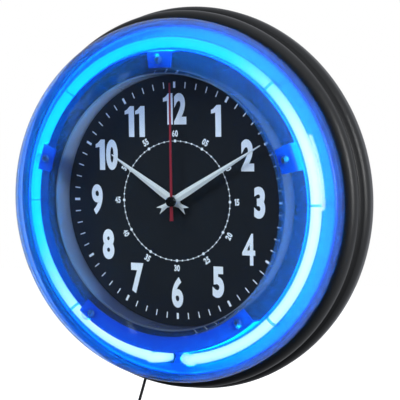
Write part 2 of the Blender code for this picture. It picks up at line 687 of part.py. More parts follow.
# ---------------------------------------------------------------- panel, dial, ring and glass
shaft_hole = BUSH_RADIUS + BUSH_HOLE_MARGIN
mounting_panel = plate("mounting_panel",
                       [circle(PANEL_RADIUS, BIG_SIDES), circle(shaft_hole, SMALL_SIDES)],
                       PANEL_BASE, PANEL_FACE, HARDBOARD)
plate("dial_plate", [circle(DIAL_RADIUS, BIG_SIDES), circle(shaft_hole, SMALL_SIDES)],
      DIAL_BASE, DIAL_FACE, DIAL_BLACK)
turned_ring("dial_ring", ring_profile(DIAL_RING_BORE + DIAL_RING_WALL, DIAL_RING_BORE,
                                      PANEL_FACE + FIT_GAP, DIAL_RING_TOP), CLEAR_RING)
plate("dial_glass", [circle(GLASS_RADIUS, BIG_SIDES)], GLASS_BASE, GLASS_FACE, CLEAR_GLASS)


# ---------------------------------------------------------------- lens and its screws
def lens_outline():
    """Profile of the lens's outside: up the inner wall, over the crest and down to the skirt."""
    crest_centre = (LENS_CREST_RADIUS, LENS_EQUATOR_HEIGHT)
    rim_rise = (LENS_ROUND ** 2 - LENS_SHOULDER_REACH ** 2) ** 0.5
    rim_angle = degrees(pi - atan2(rim_rise, LENS_SHOULDER_REACH))
    widest = LENS_CREST_RADIUS + LENS_ROUND
    undercut_centre = (widest - LENS_UNDERCUT, LENS_EQUATOR_HEIGHT)
    outline = [(LENS_FOOT_RADIUS, GLASS_FACE + FIT_GAP),
               (LENS_RIM_RADIUS, LENS_EQUATOR_HEIGHT + rim_rise)]
    outline += arc(crest_centre, LENS_ROUND, rim_angle, 0, 6)[1:]
    outline += arc(undercut_centre, LENS_UNDERCUT, -LENS_UNDERCUT_ANGLE / 2,
                   -LENS_UNDERCUT_ANGLE, 1)
    outline += [(outline[-1][0], LEDGE_HEIGHT + FIT_GAP)]
    return outline


front_lens = turned_shell("front_lens", lens_outline(), LENS_WALL, CLEAR_LENS)
boss_base = SHELF_HEIGHT + FIT_GAP
seat_height = boss_base + LENS_SEAT_RISE
boss_top = LENS_EQUATOR_HEIGHT + LENS_ROUND - LENS_BOSS_DROP
head_bore = LENS_SCREW_HEAD + SCREW_CLEARANCE
lens_holes = []
for i in range(LENS_SCREW_COUNT):
    label = str(i + 1)
    place = clock_point(LENS_SCREW_CIRCLE, 360.0 * i / LENS_SCREW_COUNT)
    boss = cylinder("lens_boss_" + label, head_bore + LENS_BOSS_WALL, boss_base, boss_top,
                    None, place)
    counterbore = cylinder("lens_counterbore_" + label, head_bore, seat_height,
                           LENS_EQUATOR_HEIGHT + LENS_ROUND + LENS_WALL, None, place)
    hole = cylinder("lens_hole_" + label, LENS_SCREW_RADIUS + SCREW_CLEARANCE,
                    boss_base - LENS_WALL, seat_height + OVERLAP, None, place)
    join(front_lens, boss)
    cut(front_lens, counterbore, hole)
    lens_holes.append(hole)
    head_base = seat_height + FIT_GAP
    lens_screw = cylinder("lens_screw_" + label, LENS_SCREW_HEAD, head_base,
                          head_base + LENS_SCREW_HEAD_HEIGHT, STEEL, place, SMALL_SIDES,
                          LENS_SCREW_TAPER * LENS_SCREW_HEAD)
    shank = cylinder("lens_shank_" + label, LENS_SCREW_RADIUS, head_base - LENS_SCREW_LENGTH,
                     head_base + OVERLAP, None, place, TINY_SIDES)
    join(lens_screw, shank)

# ---------------------------------------------------------------- reflector
floor_height = PANEL_FACE + FIT_GAP + REFLECTOR_WALL
reflector_outline = [(SHELF_INNER_RADIUS, SHELF_HEIGHT), (SHELF_OUTER_RADIUS, SHELF_HEIGHT),
                     (SLOPE_FOOT_RADIUS, floor_height + SLOPE_TURN_RISE),
                     (SLOPE_FOOT_RADIUS + SLOPE_TURN_RUN, floor_height),
                     (PANEL_RADIUS - 2 * REFLECTOR_LIP, floor_height),
                     (REFLECTOR_RADIUS - REFLECTOR_LIP, floor_height + REFLECTOR_LIP),
                     (REFLECTOR_RADIUS, floor_height + 2 * REFLECTOR_LIP)]
reflector_ring = turned_shell("reflector_ring", reflector_outline, REFLECTOR_WALL, BLUE_STYRENE)
cut(reflector_ring, *lens_holes)


def sector(inner, outer, start, end, steps):
    """Outline of a ring sector between two clock angles."""
    angles = [start + (end - start) * i / steps for i in range(steps + 1)]
    outside = [clock_point(outer, angle) for angle in angles]
    inside = [clock_point(inner, angle) for angle in reversed(angles)]
    return outside + inside


tab_half_angle = degrees(TAB_WIDTH / 2 / LENS_SCREW_CIRCLE)
screw_pitch = 360.0 / LENS_SCREW_COUNT
for i in range(LENS_SCREW_COUNT):
    start = screw_pitch * i + tab_half_angle
    end = screw_pitch * (i + 1) - tab_half_angle
    if start < 180.0 < end:
        continue
    window = plate("reflector_window_" + str(i + 1),
                   [sector(SHELF_INNER_RADIUS - 2 * REFLECTOR_WALL, SLOPE_FOOT_RADIUS, start, end, 8)],
                   WINDOW_BASE_HEIGHT, SHELF_HEIGHT + 2 * REFLECTOR_WALL)
    cut(reflector_ring, window)


# ---------------------------------------------------------------- neon tube, boots and clips
def tube_route():
    """The tube's centre line: a turned-back end, the ring, and the other turned-back end."""
    side_height = (TUBE_CIRCLE ** 2 - TUBE_END_HALF_GAP ** 2) ** 0.5
    bend_start = TUBE_END_HALF_GAP + TUBE_BEND
    half_gap_angle = degrees(bend_start / TUBE_CIRCLE)
    ring = [(*clock_point(TUBE_CIRCLE, 180.0 - half_gap_angle
                          - (360.0 - 2 * half_gap_angle) * i / 60), TUBE_HEIGHT) for i in range(61)]
    bend = []
    for i in range(4):
        angle = radians(90.0 * i / 4)
        bend.append((TUBE_END_HALF_GAP + TUBE_BEND * (1 - cos(angle)), -side_height,
                     TUBE_HEIGHT - TUBE_BEND * (1 - sin(angle))))
    lower = [(TUBE_END_HALF_GAP, -side_height, TUBE_END_HEIGHT)] + bend
    other = [(-x, y, z) for x, y, z in reversed(lower)]
    return lower + ring + other


rod("neon_tube", tube_route(), TUBE_RADIUS, NEON_BLUE)

end_height = -(TUBE_CIRCLE ** 2 - TUBE_END_HALF_GAP ** 2) ** 0.5
for side, sign in (("right", 1.0), ("left", -1.0)):
    place = (sign * TUBE_END_HALF_GAP, end_height)
    boot = cylinder("electrode_boot_" + side, BOOT_RADIUS, BOOT_BASE, BOOT_TOP,
                    BLACK_RUBBER, place)
    socket = cylinder("boot_socket_" + side, TUBE_RADIUS + FIT_GAP, TUBE_END_HEIGHT - FIT_GAP,
                      BOOT_TOP + OVERLAP, None, place)
    cut(boot, socket)
    passage = cylinder("boot_passage_" + side, BOOT_RADIUS + 2 * FIT_GAP,
                       LEDGE_HEIGHT - 2 * CASE_WALL, floor_height + REFLECTOR_LIP, None, place)
    cut(rear_case, passage)
    cut(mounting_panel, passage)
    cut(reflector_ring, passage)
    entry = DRIVER_CENTRE[1] - DRIVER_SIZE[1] / 2 - FIT_GAP
    lead_top = BOOT_BASE - FIT_GAP
    route = [(sign * TUBE_END_HALF_GAP, end_height, lead_top),
             (sign * TUBE_END_HALF_GAP, end_height, lead_top - HT_FALL),
             (sign * (TUBE_END_HALF_GAP + HT_TURN), end_height, HT_ENTRY_HEIGHT + HT_TURN_RISE),
             (sign * (HT_ENTRY_X - HT_TURN), end_height + HT_TURN, HT_ENTRY_HEIGHT),
             (sign * HT_ENTRY_X, entry - HT_TURN, HT_ENTRY_HEIGHT),
             (sign * HT_ENTRY_X, entry, HT_ENTRY_HEIGHT)]
    rod("ht_lead_" + side, smooth_route(route, 3), HT_LEAD_RADIUS, RED_SILICONE)

clip_bore = TUBE_RADIUS + FIT_GAP
clip_outer = clip_bore + CLIP_WALL
clip_foot = floor_height + FIT_GAP - TUBE_HEIGHT
clip_outline = [(clip_outer * cos(radians(a)), clip_outer * sin(radians(a)))
                for a in range(-60, 241, 30)]
clip_outline += [(-CLIP_STEM_HALF, clip_foot), (CLIP_STEM_HALF, clip_foot)]
for i, angle in enumerate(CLIP_ANGLES):
    clip = plate("tube_clip_" + str(i + 1), [clip_outline, circle(clip_bore, SMALL_SIDES)],
                 -CLIP_WIDTH / 2, CLIP_WIDTH / 2, CLEAR_CLIP)
    x, y = clock_point(TUBE_CIRCLE, angle)
    outward = Vector((x, y, 0.0)).normalized()
    forward = Vector((0.0, 0.0, 1.0))
    turn_to = Matrix((outward, forward, outward.cross(forward))).transposed()
    clip.rotation_euler = turn_to.to_euler()
    clip.location = (x, y, TUBE_HEIGHT)

# ---------------------------------------------------------------- tube driver
driver_low = (DRIVER_CENTRE[0] - DRIVER_SIZE[0] / 2, DRIVER_CENTRE[1] - DRIVER_SIZE[1] / 2,
              DRIVER_BASE)
driver_high = (DRIVER_CENTRE[0] + DRIVER_SIZE[0] / 2, DRIVER_CENTRE[1] + DRIVER_SIZE[1] / 2,
               DRIVER_BASE + DRIVER_SIZE[2])
block("tube_driver", driver_low, driver_high, BLACK_ABS, DRIVER_ROUND)


# ---------------------------------------------------------------- movement
def gear_outline(teeth, module, tooth_angle):
    """Outline of a wheel with plain pointed teeth, one of them at a given angle in degrees."""
    tip = module * (teeth / 2 + TOOTH_ADDENDUM)
    root = module * (teeth / 2 - TOOTH_DEDENDUM)
    outline = []
    for i in range(teeth):
        angle = radians(tooth_angle) + 2 * pi * i / teeth
        outline.append((tip * cos(angle), tip * sin(angle)))
        valley = angle + pi / teeth
        outline.append((root * cos(valley), root * sin(valley)))
    return outline


def gap_at(teeth, angle):
    """Tooth angle that puts a gap between two teeth at a given angle."""
    return angle + 180.0 / teeth


half = MOVEMENT_SIZE / 2
wall = MOVEMENT_WALL
movement_case = block("movement_case", (-half, -half, MOVEMENT_BASE),
                      (half, half, MOVEMENT_FACE), BLACK_ABS)
train_chamber = block("train_chamber", (-half + wall, BAY_TOP + wall, MOVEMENT_BASE - wall),
                      (half - wall, half - wall, MOVEMENT_INNER))
battery_bay = block("battery_bay", (-half + wall, -half + wall, MOVEMENT_BASE - wall),
                    (half - wall, BAY_TOP, MOVEMENT_INNER))
bush = cylinder("bush", BUSH_RADIUS, MOVEMENT_INNER + wall / 2, BUSH_TOP)
bush_bore = cylinder("bush_bore", BUSH_BORE, MOVEMENT_INNER - wall, BUSH_TOP + wall)
cut(movement_case, train_chamber, battery_bay)
join(movement_case, bush)
cut(movement_case, bush_bore)
pivot_bore = ARBOR_RADIUS + PIVOT_CLEARANCE
motion_bearing = cylinder("motion_bearing", pivot_bore, MOVEMENT_INNER - wall, MOVEMENT_FACE + wall,
                          None, MOTION_CENTRE, TINY_SIDES)
cut(movement_case, motion_bearing)

knob_bore = KNOB_SHAFT_RADIUS + FIT_GAP
movement_cover = block("movement_cover", (-half, BAY_TOP, MOVEMENT_COVER_BASE),
                       (half, half, MOVEMENT_COVER_FACE), BLACK_ABS)
train_plate = block("train_plate", (-half + wall + FIT_GAP, BAY_TOP + wall + FIT_GAP,
                                    TRAIN_PLATE_FACE - TRAIN_PLATE_THICKNESS),
                    (half - wall - FIT_GAP, ROTOR_CENTRE[1] + PLATE_MARGIN, TRAIN_PLATE_FACE), ACETAL)
BEARINGS = {"centre": CENTRE, "third": THIRD_CENTRE, "intermediate": INTERMEDIATE_CENTRE,
            "rotor": ROTOR_CENTRE}
for label, place in BEARINGS.items():
    cover_hole = cylinder("cover_bearing_" + label, pivot_bore, MOVEMENT_COVER_BASE - wall,
                          MOVEMENT_COVER_FACE + wall, None, place, TINY_SIDES)
    cut(movement_cover, cover_hole)
for label, place in {**BEARINGS, "motion": MOTION_CENTRE, "setting": SETTING_CENTRE}.items():
    bore = {"centre": MINUTE_PIPE_RADIUS + FIT_GAP, "setting": knob_bore}.get(label, pivot_bore)
    plate_hole = cylinder("plate_bearing_" + label, bore, TRAIN_PLATE_FACE - 2 * wall,
                          TRAIN_PLATE_FACE + wall, None, place, SMALL_SIDES)
    cut(train_plate, plate_hole)
knob_hole = cylinder("knob_hole", knob_bore, MOVEMENT_COVER_BASE - wall, MOVEMENT_COVER_FACE + wall,
                     None, SETTING_CENTRE, SMALL_SIDES)
cut(movement_cover, knob_hole)

turned_ring("washer", ring_profile(WASHER_RADIUS, shaft_hole, WASHER_BASE,
                                   WASHER_BASE + WASHER_THICKNESS), BLACK_RUBBER,
            sides=SMALL_SIDES)
nut_corner = NUT_ACROSS_FLATS / 2 / cos(pi / 6)
plate("fixing_nut", [circle(nut_corner, 6), circle(BUSH_RADIUS + NUT_CLEARANCE, SMALL_SIDES)],
      DIAL_FACE + FIT_GAP, DIAL_FACE + FIT_GAP + NUT_THICKNESS, BRASS)

# motion work, which the setting knob turns with the hands
stack("hour_wheel", [gear_outline(HOUR_TEETH, HOUR_MODULE, gap_at(HOUR_TEETH, 0.0)),
                     circle(HOUR_PIPE_RADIUS, SMALL_SIDES)],
      [HOUR_WHEEL_FACE - WHEEL_THICKNESS, HOUR_WHEEL_FACE, HOUR_HAND_BASE + PIPE_REACH],
      ACETAL, CENTRE, HOUR_PIPE_BORE)

minute_pipe = circle(MINUTE_PIPE_RADIUS, SMALL_SIDES)
stack("minute_arbor", [minute_pipe, gear_outline(CANNON_TEETH, MOTION_MODULE, 0.0), minute_pipe],
      [CENTRE_FACE - WHEEL_THICKNESS - FIT_GAP, MOTION_FACE - WHEEL_THICKNESS - PINION_OVERHANG,
       MOTION_FACE + PINION_OVERHANG, MINUTE_HAND_BASE + PIPE_REACH],
      BRASS, CENTRE, MINUTE_PIPE_BORE)

arbor = circle(ARBOR_RADIUS, TINY_SIDES)
stack("motion_wheel", [arbor, gear_outline(MOTION_TEETH, MOTION_MODULE, gap_at(MOTION_TEETH, 180.0)),
                       gear_outline(MOTION_PINION_TEETH, HOUR_MODULE, 180.0), arbor],
      [TRAIN_PLATE_FACE - TRAIN_PLATE_THICKNESS / 2, MOTION_FACE - WHEEL_THICKNESS, MOTION_FACE,
       HOUR_WHEEL_FACE + PINION_REACH, MOVEMENT_FACE - FIT_GAP], ACETAL, MOTION_CENTRE)

knob_shaft = circle(KNOB_SHAFT_RADIUS, SMALL_SIDES)
knob_outline = [point for pair in zip(circle(KNOB_RADIUS, KNOB_FLUTES),
                                      [(x * cos(pi / KNOB_FLUTES) - y * sin(pi / KNOB_FLUTES),
                                        x * sin(pi / KNOB_FLUTES) + y * cos(pi / KNOB_FLUTES))
                                       for x, y in circle(KNOB_RADIUS - KNOB_FLUTE_DEPTH,
                                                          KNOB_FLUTES)])
                for point in pair]
knob_top = MOVEMENT_COVER_BASE - 2 * FIT_GAP
stack("setting_knob", [knob_outline, knob_shaft,
                       gear_outline(SETTING_TEETH, MOTION_MODULE, 180.0)],
      [knob_top - KNOB_HEIGHT, knob_top, MOTION_FACE - WHEEL_THICKNESS, MOTION_FACE],
      ACETAL, SETTING_CENTRE)

# going train, driven by the rotor; the centre wheel slips on the minute arbor
stack("centre_wheel", [gear_outline(CENTRE_TEETH, GOING_MODULE, gap_at(CENTRE_TEETH, 180.0))],
      [CENTRE_FACE - WHEEL_THICKNESS, CENTRE_FACE], BRASS, CENTRE,
      MINUTE_PIPE_RADIUS + PIVOT_CLEARANCE / 2)


def train_wheel(name, wheel_outline, face, pinion_outline, pinion_level, at, arbor_top):
    """A wheel on its arbor, with a pinion that reaches through the level of the wheel it drives."""
    stack(name, [arbor, wheel_outline, pinion_outline, arbor],
          [PIVOT_BASE, face - WHEEL_THICKNESS, face, pinion_level + PINION_OVERHANG, arbor_top],
          ACETAL, at)


train_wheel("third_wheel", gear_outline(THIRD_TEETH, THIRD_MODULE, gap_at(THIRD_TEETH, 0.0)),
            THIRD_FACE, gear_outline(THIRD_PINION_TEETH, GOING_MODULE, 0.0), CENTRE_FACE,
            THIRD_CENTRE, PIVOT_TOP)
train_wheel("second_wheel", gear_outline(SECOND_TEETH, SECOND_MODULE, gap_at(SECOND_TEETH, 90.0)),
            SECOND_FACE, gear_outline(SECOND_PINION_TEETH, THIRD_MODULE, 180.0), THIRD_FACE,
            CENTRE, SECOND_HAND_BASE + CAP_HEIGHT / 2)
train_wheel("intermediate_wheel",
            gear_outline(INTERMEDIATE_TEETH, ROTOR_MODULE, gap_at(INTERMEDIATE_TEETH, 90.0)),
            INTERMEDIATE_FACE, gear_outline(INTERMEDIATE_PINION_TEETH, SECOND_MODULE, 270.0),
            SECOND_FACE, INTERMEDIATE_CENTRE, PIVOT_TOP)

rotor_face = THIRD_FACE + ROTOR_HEIGHT / 2
stack("rotor", [arbor, gear_outline(ROTOR_PINION_TEETH, ROTOR_MODULE, 270.0),
                circle(ROTOR_RADIUS, SMALL_SIDES), arbor],
      [PIVOT_BASE, INTERMEDIATE_FACE - WHEEL_THICKNESS - PINION_OVERHANG,
       rotor_face - ROTOR_HEIGHT, rotor_face, PIVOT_TOP], MAGNET, ROTOR_CENTRE)

# stator, coil, circuit board and cell
bar_centre = ROTOR_CENTRE[1] + STATOR_BAR_RISE
stator_low = INTERMEDIATE_CENTRE[1] + STATOR_FOOT_RISE
stator_high = bar_centre + STATOR_BAR_HALF
window_low = bar_centre - STATOR_WINDOW_DEPTH
window_high = bar_centre - STATOR_BAR_HALF
stator_outline = [(-STATOR_HALF, stator_low), (STATOR_HALF, stator_low),
                  (STATOR_HALF, stator_high), (-STATOR_HALF, stator_high)]
coil_window = [(-STATOR_WINDOW_HALF, window_low), (STATOR_WINDOW_HALF, window_low),
               (STATOR_WINDOW_HALF, window_high), (-STATOR_WINDOW_HALF, window_high)]
stator_face = rotor_face - (ROTOR_HEIGHT - STATOR_THICKNESS) / 2
plate("stator", [stator_outline, circle(ROTOR_RADIUS + STATOR_ROTOR_GAP, SMALL_SIDES, ROTOR_CENTRE),
                 coil_window], stator_face - STATOR_THICKNESS, stator_face, STEEL)
motor_coil = turned_ring("motor_coil", ring_profile(COIL_BOBBIN_RADIUS, COIL_BOBBIN_BORE,
                                                    -COIL_BOBBIN_HALF, COIL_BOBBIN_HALF), COPPER,
                         (0.0, bar_centre, stator_face - STATOR_THICKNESS / 2), SMALL_SIDES)
motor_coil.rotation_euler = (0.0, pi / 2, 0.0)
board_face = TRAIN_PLATE_FACE - BOARD_DROP
block("circuit_board", (-half + wall + FIT_GAP, BOARD_FOOT, board_face - BOARD_THICKNESS),
      (-STATOR_HALF - BOARD_GAP, half - wall - FIT_GAP, board_face), BOARD_GREEN)

cell_level = MOVEMENT_INNER - FIT_GAP - BATTERY_RADIUS
cell_height = BAY_TOP - FIT_GAP - BATTERY_RADIUS
cell_start = -BATTERY_LENGTH / 2 - BATTERY_SHIFT
cell_end = cell_start + BATTERY_LENGTH
battery = cylinder("battery", BATTERY_RADIUS, cell_start, cell_end, CELL_LABEL, (0.0, 0.0),
                   BATTERY_SIDES)
battery.location = (0.0, cell_height, cell_level)
battery.rotation_euler = (0.0, pi / 2, 0.0)
nub = cylinder("battery_nub", BATTERY_NUB_RADIUS, cell_end - OVERLAP, cell_end + BATTERY_NUB_LENGTH,
               None, (0.0, 0.0), TINY_SIDES)
nub.location = battery.location
nub.rotation_euler = battery.rotation_euler
join(battery, nub)
contact_reach = half - wall - FIT_GAP
for side, sign in (("positive", 1.0), ("negative", -1.0)):
    near, far = sorted((sign * contact_reach, sign * (contact_reach - CONTACT_THICKNESS)))
    block("contact_" + side, (near, cell_height - CONTACT_HALF, cell_level - CONTACT_HALF),
          (far, cell_height + CONTACT_HALF, cell_level + CONTACT_HALF), STEEL)


# ---------------------------------------------------------------- hands
def dauphine(length, tail, width, hub_radius, bore):
    """A tapering hand with a forked tail, pointing to twelve about its own hub."""
    half = width / 2
    shoulder = HAND_SHOULDER * length
    waist = HAND_WAIST[0] * half
    waist_height = -HAND_WAIST[1] * tail
    outline = [(-HAND_TIP_HALF, length), (-half, shoulder), (-half, hub_radius),
               (-hub_radius, 0.0), (-waist, waist_height), (-half, -tail), (0.0, -HAND_NOTCH * tail),
               (half, -tail), (waist, waist_height), (hub_radius, 0.0), (half, hub_radius),
               (half, shoulder), (HAND_TIP_HALF, length)]
    return [outline, circle(bore, SMALL_SIDES)]


def hand(name, loops, base, angle, material):
    made = plate(name, loops, base, base + HAND_THICKNESS, material)
    made.rotation_euler = (0.0, 0.0, -radians(angle))
    return made


hand("hour_hand", dauphine(HOUR_HAND_LENGTH, HOUR_HAND_TAIL, HOUR_HAND_WIDTH, HOUR_HUB_RADIUS,
                           HOUR_PIPE_RADIUS + HAND_BORE_CLEARANCE),
     HOUR_HAND_BASE, HOUR_HAND_ANGLE, SILVER_HAND)
hand("minute_hand", dauphine(MINUTE_HAND_LENGTH, MINUTE_HAND_TAIL, MINUTE_HAND_WIDTH,
                             MINUTE_HUB_RADIUS, MINUTE_PIPE_RADIUS + HAND_BORE_CLEARANCE),
     MINUTE_HAND_BASE, MINUTE_HAND_ANGLE, SILVER_HAND)

needle = SECOND_HAND_WIDTH / 2
second_hand = hand("second_hand", [[(-needle / 2, SECOND_HAND_LENGTH), (-needle, 0.0),
                                    (-NEEDLE_TAIL_SPREAD * needle, -SECOND_HAND_TAIL),
                                    (NEEDLE_TAIL_SPREAD * needle, -SECOND_HAND_TAIL), (needle, 0.0),
                                    (needle / 2, SECOND_HAND_LENGTH)]],
                   SECOND_HAND_BASE, SECOND_HAND_ANGLE, RED_HAND)
cap = cylinder("second_cap", CAP_RADIUS, SECOND_HAND_BASE - OVERLAP / 2,
               SECOND_HAND_BASE + CAP_HEIGHT, None, (0.0, 0.0), CAP_SIDES, CAP_TAPER * CAP_RADIUS)
cap_bore = cylinder("cap_bore", ARBOR_RADIUS + HAND_BORE_CLEARANCE, SECOND_HAND_BASE - 2 * OVERLAP,
                    SECOND_HAND_BASE + CAP_HEIGHT / 2 + FIT_GAP, None, (0.0, 0.0), TINY_SIDES)
join(second_hand, cap)
cut(second_hand, cap_bore)


# ---------------------------------------------------------------- gland, lead, coil and adapter
def along_gland(radius):
    x, y = clock_point(radius, GLAND_ANGLE)
    return (x, y, GLAND_HEIGHT)


def gland_piece(name, radius, tip, inner, outer, material=None):
    """A cone along the gland's own axis, which points out of the case's rim."""
    made = cylinder(name, radius, inner, outer, material, (0.0, 0.0), GLAND_SIDES, tip)
    outward = Vector((*clock_point(1.0, GLAND_ANGLE), 0.0))
    made.rotation_euler = outward.to_track_quat("Z", "Y").to_euler()
    made.location = (0.0, 0.0, GLAND_HEIGHT)
    return made


strain_relief = gland_piece("strain_relief", GLAND_RADIUS, GLAND_TIP_RADIUS,
                            GLAND_INNER_END + GLAND_FLANGE_THICKNESS / 2, GLAND_OUTER_END,
                            BLACK_PVC)
flange = gland_piece("gland_flange", GLAND_FLANGE_RADIUS, GLAND_FLANGE_RADIUS, GLAND_INNER_END,
                     GLAND_INNER_END + GLAND_FLANGE_THICKNESS)
join(strain_relief, flange)
gland_bore = gland_piece("gland_bore", GLAND_RADIUS + FIT_GAP, GLAND_RADIUS + FIT_GAP,
                         GLAND_INNER_END + GLAND_FLANGE_THICKNESS, CASE_RADIUS + 2 * CASE_WALL)
cut(rear_case, gland_bore)

inner_route = [along_gland(GLAND_INNER_END - FIT_GAP), along_gland(GLAND_INNER_END - INNER_RUN),
               *INNER_ROUTE, (-DRIVER_SIZE[0] / 2 - FIT_GAP, *INNER_ENTRY)]
rod("inner_lead", smooth_route(inner_route, 3), LEAD_RADIUS, BLACK_PVC)

run_end = along_gland(GLAND_OUTER_END + LEAD_REACH)


def below_rim(offsets):
    """A point across from where the lead starts to hang, below the case's rim and off the wall."""
    across, fall, level = offsets
    return (run_end[0] + across, fall - CASE_RADIUS, level)


coil_centre = below_rim(COIL_PLACE)
coil_side = coil_centre[0] + COIL_MEET[0]
lead_route = [along_gland(GLAND_OUTER_END + FIT_GAP),
              *[along_gland(GLAND_OUTER_END + reach) for reach in LEAD_BENDS], run_end,
              *[below_rim(point) for point in LEAD_FALL],
              (coil_side, coil_centre[1] + COIL_MEET[1], coil_centre[2])]
rod("cord", smooth_route(lead_route, 2), LEAD_RADIUS, BLACK_PVC)

coil_low = coil_centre[2] - COIL_DEPTH / 2
coil_high = coil_centre[2] + COIL_DEPTH / 2
coil_outline = [(COIL_OUTER - COIL_EDGE, coil_high), (COIL_OUTER, coil_high - COIL_EDGE),
                (COIL_OUTER, coil_low + COIL_EDGE), (COIL_OUTER - COIL_EDGE, coil_low),
                (COIL_INNER + COIL_EDGE, coil_low), (COIL_INNER, coil_low + COIL_EDGE),
                (COIL_INNER, coil_high - COIL_EDGE), (COIL_INNER + COIL_EDGE, coil_high)]
turned_ring("cord_coil", coil_outline, BLACK_PVC, (coil_centre[0], coil_centre[1], 0.0), COIL_SIDES)

adapter_top = below_rim(ADAPTER_PLACE)
tail_route = [(coil_side, coil_centre[1] - COIL_MEET[1], coil_centre[2]),
              *[below_rim(point) for point in TAIL_FALL],
              (adapter_top[0], adapter_top[1] + ADAPTER_ENTRY, adapter_top[2]),
              (adapter_top[0], adapter_top[1] + FIT_GAP, adapter_top[2])]
rod("cord_tail", smooth_route(tail_route, 2), LEAD_RADIUS, BLACK_PVC)

adapter_low = (adapter_top[0] - ADAPTER_SIZE[0] / 2, adapter_top[1] - ADAPTER_SIZE[1],
               adapter_top[2] - ADAPTER_SIZE[2] / 2)
adapter_high = (adapter_top[0] + ADAPTER_SIZE[0] / 2, adapter_top[1],
                adapter_top[2] + ADAPTER_SIZE[2] / 2)
block("power_adapter", adapter_low, adapter_high, BLACK_ABS, ADAPTER_ROUND)
blade_y = adapter_low[1] + BLADE_RISE
for side, sign in (("left", -1.0), ("right", 1.0)):
    blade_x = adapter_top[0] + sign * BLADE_SPACING / 2
    block("adapter_blade_" + side,
          (blade_x - BLADE_SIZE[1] / 2, blade_y - BLADE_SIZE[0] / 2, adapter_high[2] + FIT_GAP),
          (blade_x + BLADE_SIZE[1] / 2, blade_y + BLADE_SIZE[0] / 2,
           adapter_high[2] + FIT_GAP + BLADE_SIZE[2]), STEEL)

for made in PARTS.objects:
    if made.type == "MESH" and not made.modifiers:
        made.data.shade_smooth()
        made.data.set_sharp_from_angle(angle=radians(35.0))
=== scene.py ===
"""A neon wall clock: its lead, its ribbed case, the ring lens with the lit tube, and its dial."""
from math import atan2, cos, degrees, pi, radians, sin

import bmesh
import bpy
from mathutils import Matrix, Vector


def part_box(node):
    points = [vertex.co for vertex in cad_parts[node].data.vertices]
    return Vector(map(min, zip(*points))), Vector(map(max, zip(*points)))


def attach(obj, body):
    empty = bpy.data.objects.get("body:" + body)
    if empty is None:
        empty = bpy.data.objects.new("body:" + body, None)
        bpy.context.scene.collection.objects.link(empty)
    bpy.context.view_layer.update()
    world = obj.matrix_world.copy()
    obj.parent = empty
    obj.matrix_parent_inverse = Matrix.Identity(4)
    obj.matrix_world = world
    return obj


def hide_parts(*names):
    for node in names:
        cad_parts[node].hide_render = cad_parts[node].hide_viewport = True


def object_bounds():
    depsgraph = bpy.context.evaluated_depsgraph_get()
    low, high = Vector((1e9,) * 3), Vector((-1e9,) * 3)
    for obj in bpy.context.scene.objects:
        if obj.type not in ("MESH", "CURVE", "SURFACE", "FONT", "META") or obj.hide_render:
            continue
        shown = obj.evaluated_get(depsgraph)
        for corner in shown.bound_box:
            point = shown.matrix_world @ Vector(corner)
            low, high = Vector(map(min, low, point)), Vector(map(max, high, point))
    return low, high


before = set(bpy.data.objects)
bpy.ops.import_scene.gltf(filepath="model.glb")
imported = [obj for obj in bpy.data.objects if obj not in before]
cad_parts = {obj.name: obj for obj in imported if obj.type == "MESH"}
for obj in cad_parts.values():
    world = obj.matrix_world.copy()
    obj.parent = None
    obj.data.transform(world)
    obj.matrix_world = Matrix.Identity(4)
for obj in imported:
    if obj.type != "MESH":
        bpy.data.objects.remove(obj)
cad_box = [list(corner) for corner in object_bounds()]

# ------------------------------------------------------------------ camera
# A long lens stands to the right of the clock and a little above it, and looks at the dial's
# centre from twelve minute-circle radii away.
dial_low, dial_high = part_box("dial_plate")
DIAL_CENTRE = (dial_low + dial_high) / 2
DIAL_FRONT = Vector((DIAL_CENTRE.x, dial_low.y, DIAL_CENTRE.z))
MINUTE_CIRCLE = 0.1134
AZIMUTH = 0.476576
ELEVATION = 0.068847
ROLL = -0.014536
DISTANCE = 11.88 * MINUTE_CIRCLE
AIM = (-0.20685 * MINUTE_CIRCLE, -0.008606 * MINUTE_CIRCLE)

back = Vector((sin(AZIMUTH) * cos(ELEVATION), -cos(AZIMUTH) * cos(ELEVATION), sin(ELEVATION)))
level = Vector((cos(AZIMUTH), sin(AZIMUTH), 0.0))
upright = back.cross(level)
right = cos(ROLL) * level + sin(ROLL) * upright
up = cos(ROLL) * upright - sin(ROLL) * level

camera_data = bpy.data.cameras.new("camera")
camera_data.sensor_width = 36.0
camera_data.lens = 123.92
camera_data.clip_start = 0.05
camera_data.clip_end = 50.0
camera = bpy.data.objects.new("camera", camera_data)
camera.matrix_world = Matrix((right, up, back)).transposed().to_4x4()
camera.location = DIAL_FRONT + DISTANCE * back - AIM[0] * right - AIM[1] * up
bpy.context.scene.collection.objects.link(camera)
bpy.context.scene.camera = camera


# ------------------------------------------------------------------ lead
# The low-voltage lead is 1.8 m of soft twin-core PVC flex, 3 mm thick. It leaves the case through
# a moulded strain relief, hangs free below the rim and is wound into a round coil above its
# adapter. Extruded PVC has a faint satin sheen and slow waves along its length.
def linear(hex_colour):
    """A shader's linear colour from an sRGB hex value."""
    channels = [int(hex_colour[i:i + 2], 16) / 255 for i in (1, 3, 5)]
    return (*[c / 12.92 if c <= 0.04045 else ((c + 0.055) / 1.055) ** 2.4 for c in channels], 1.0)


def add(tree, kind, sockets=None, **settings):
    """A shader node with its settings, and its sockets linked or set."""
    made = tree.nodes.new(kind)
    for name, value in settings.items():
        setattr(made, name, value)
    for name, value in (sockets or {}).items():
        if isinstance(value, bpy.types.NodeSocket):
            tree.links.new(value, made.inputs[name])
        else:
            made.inputs[name].default_value = value
    return made


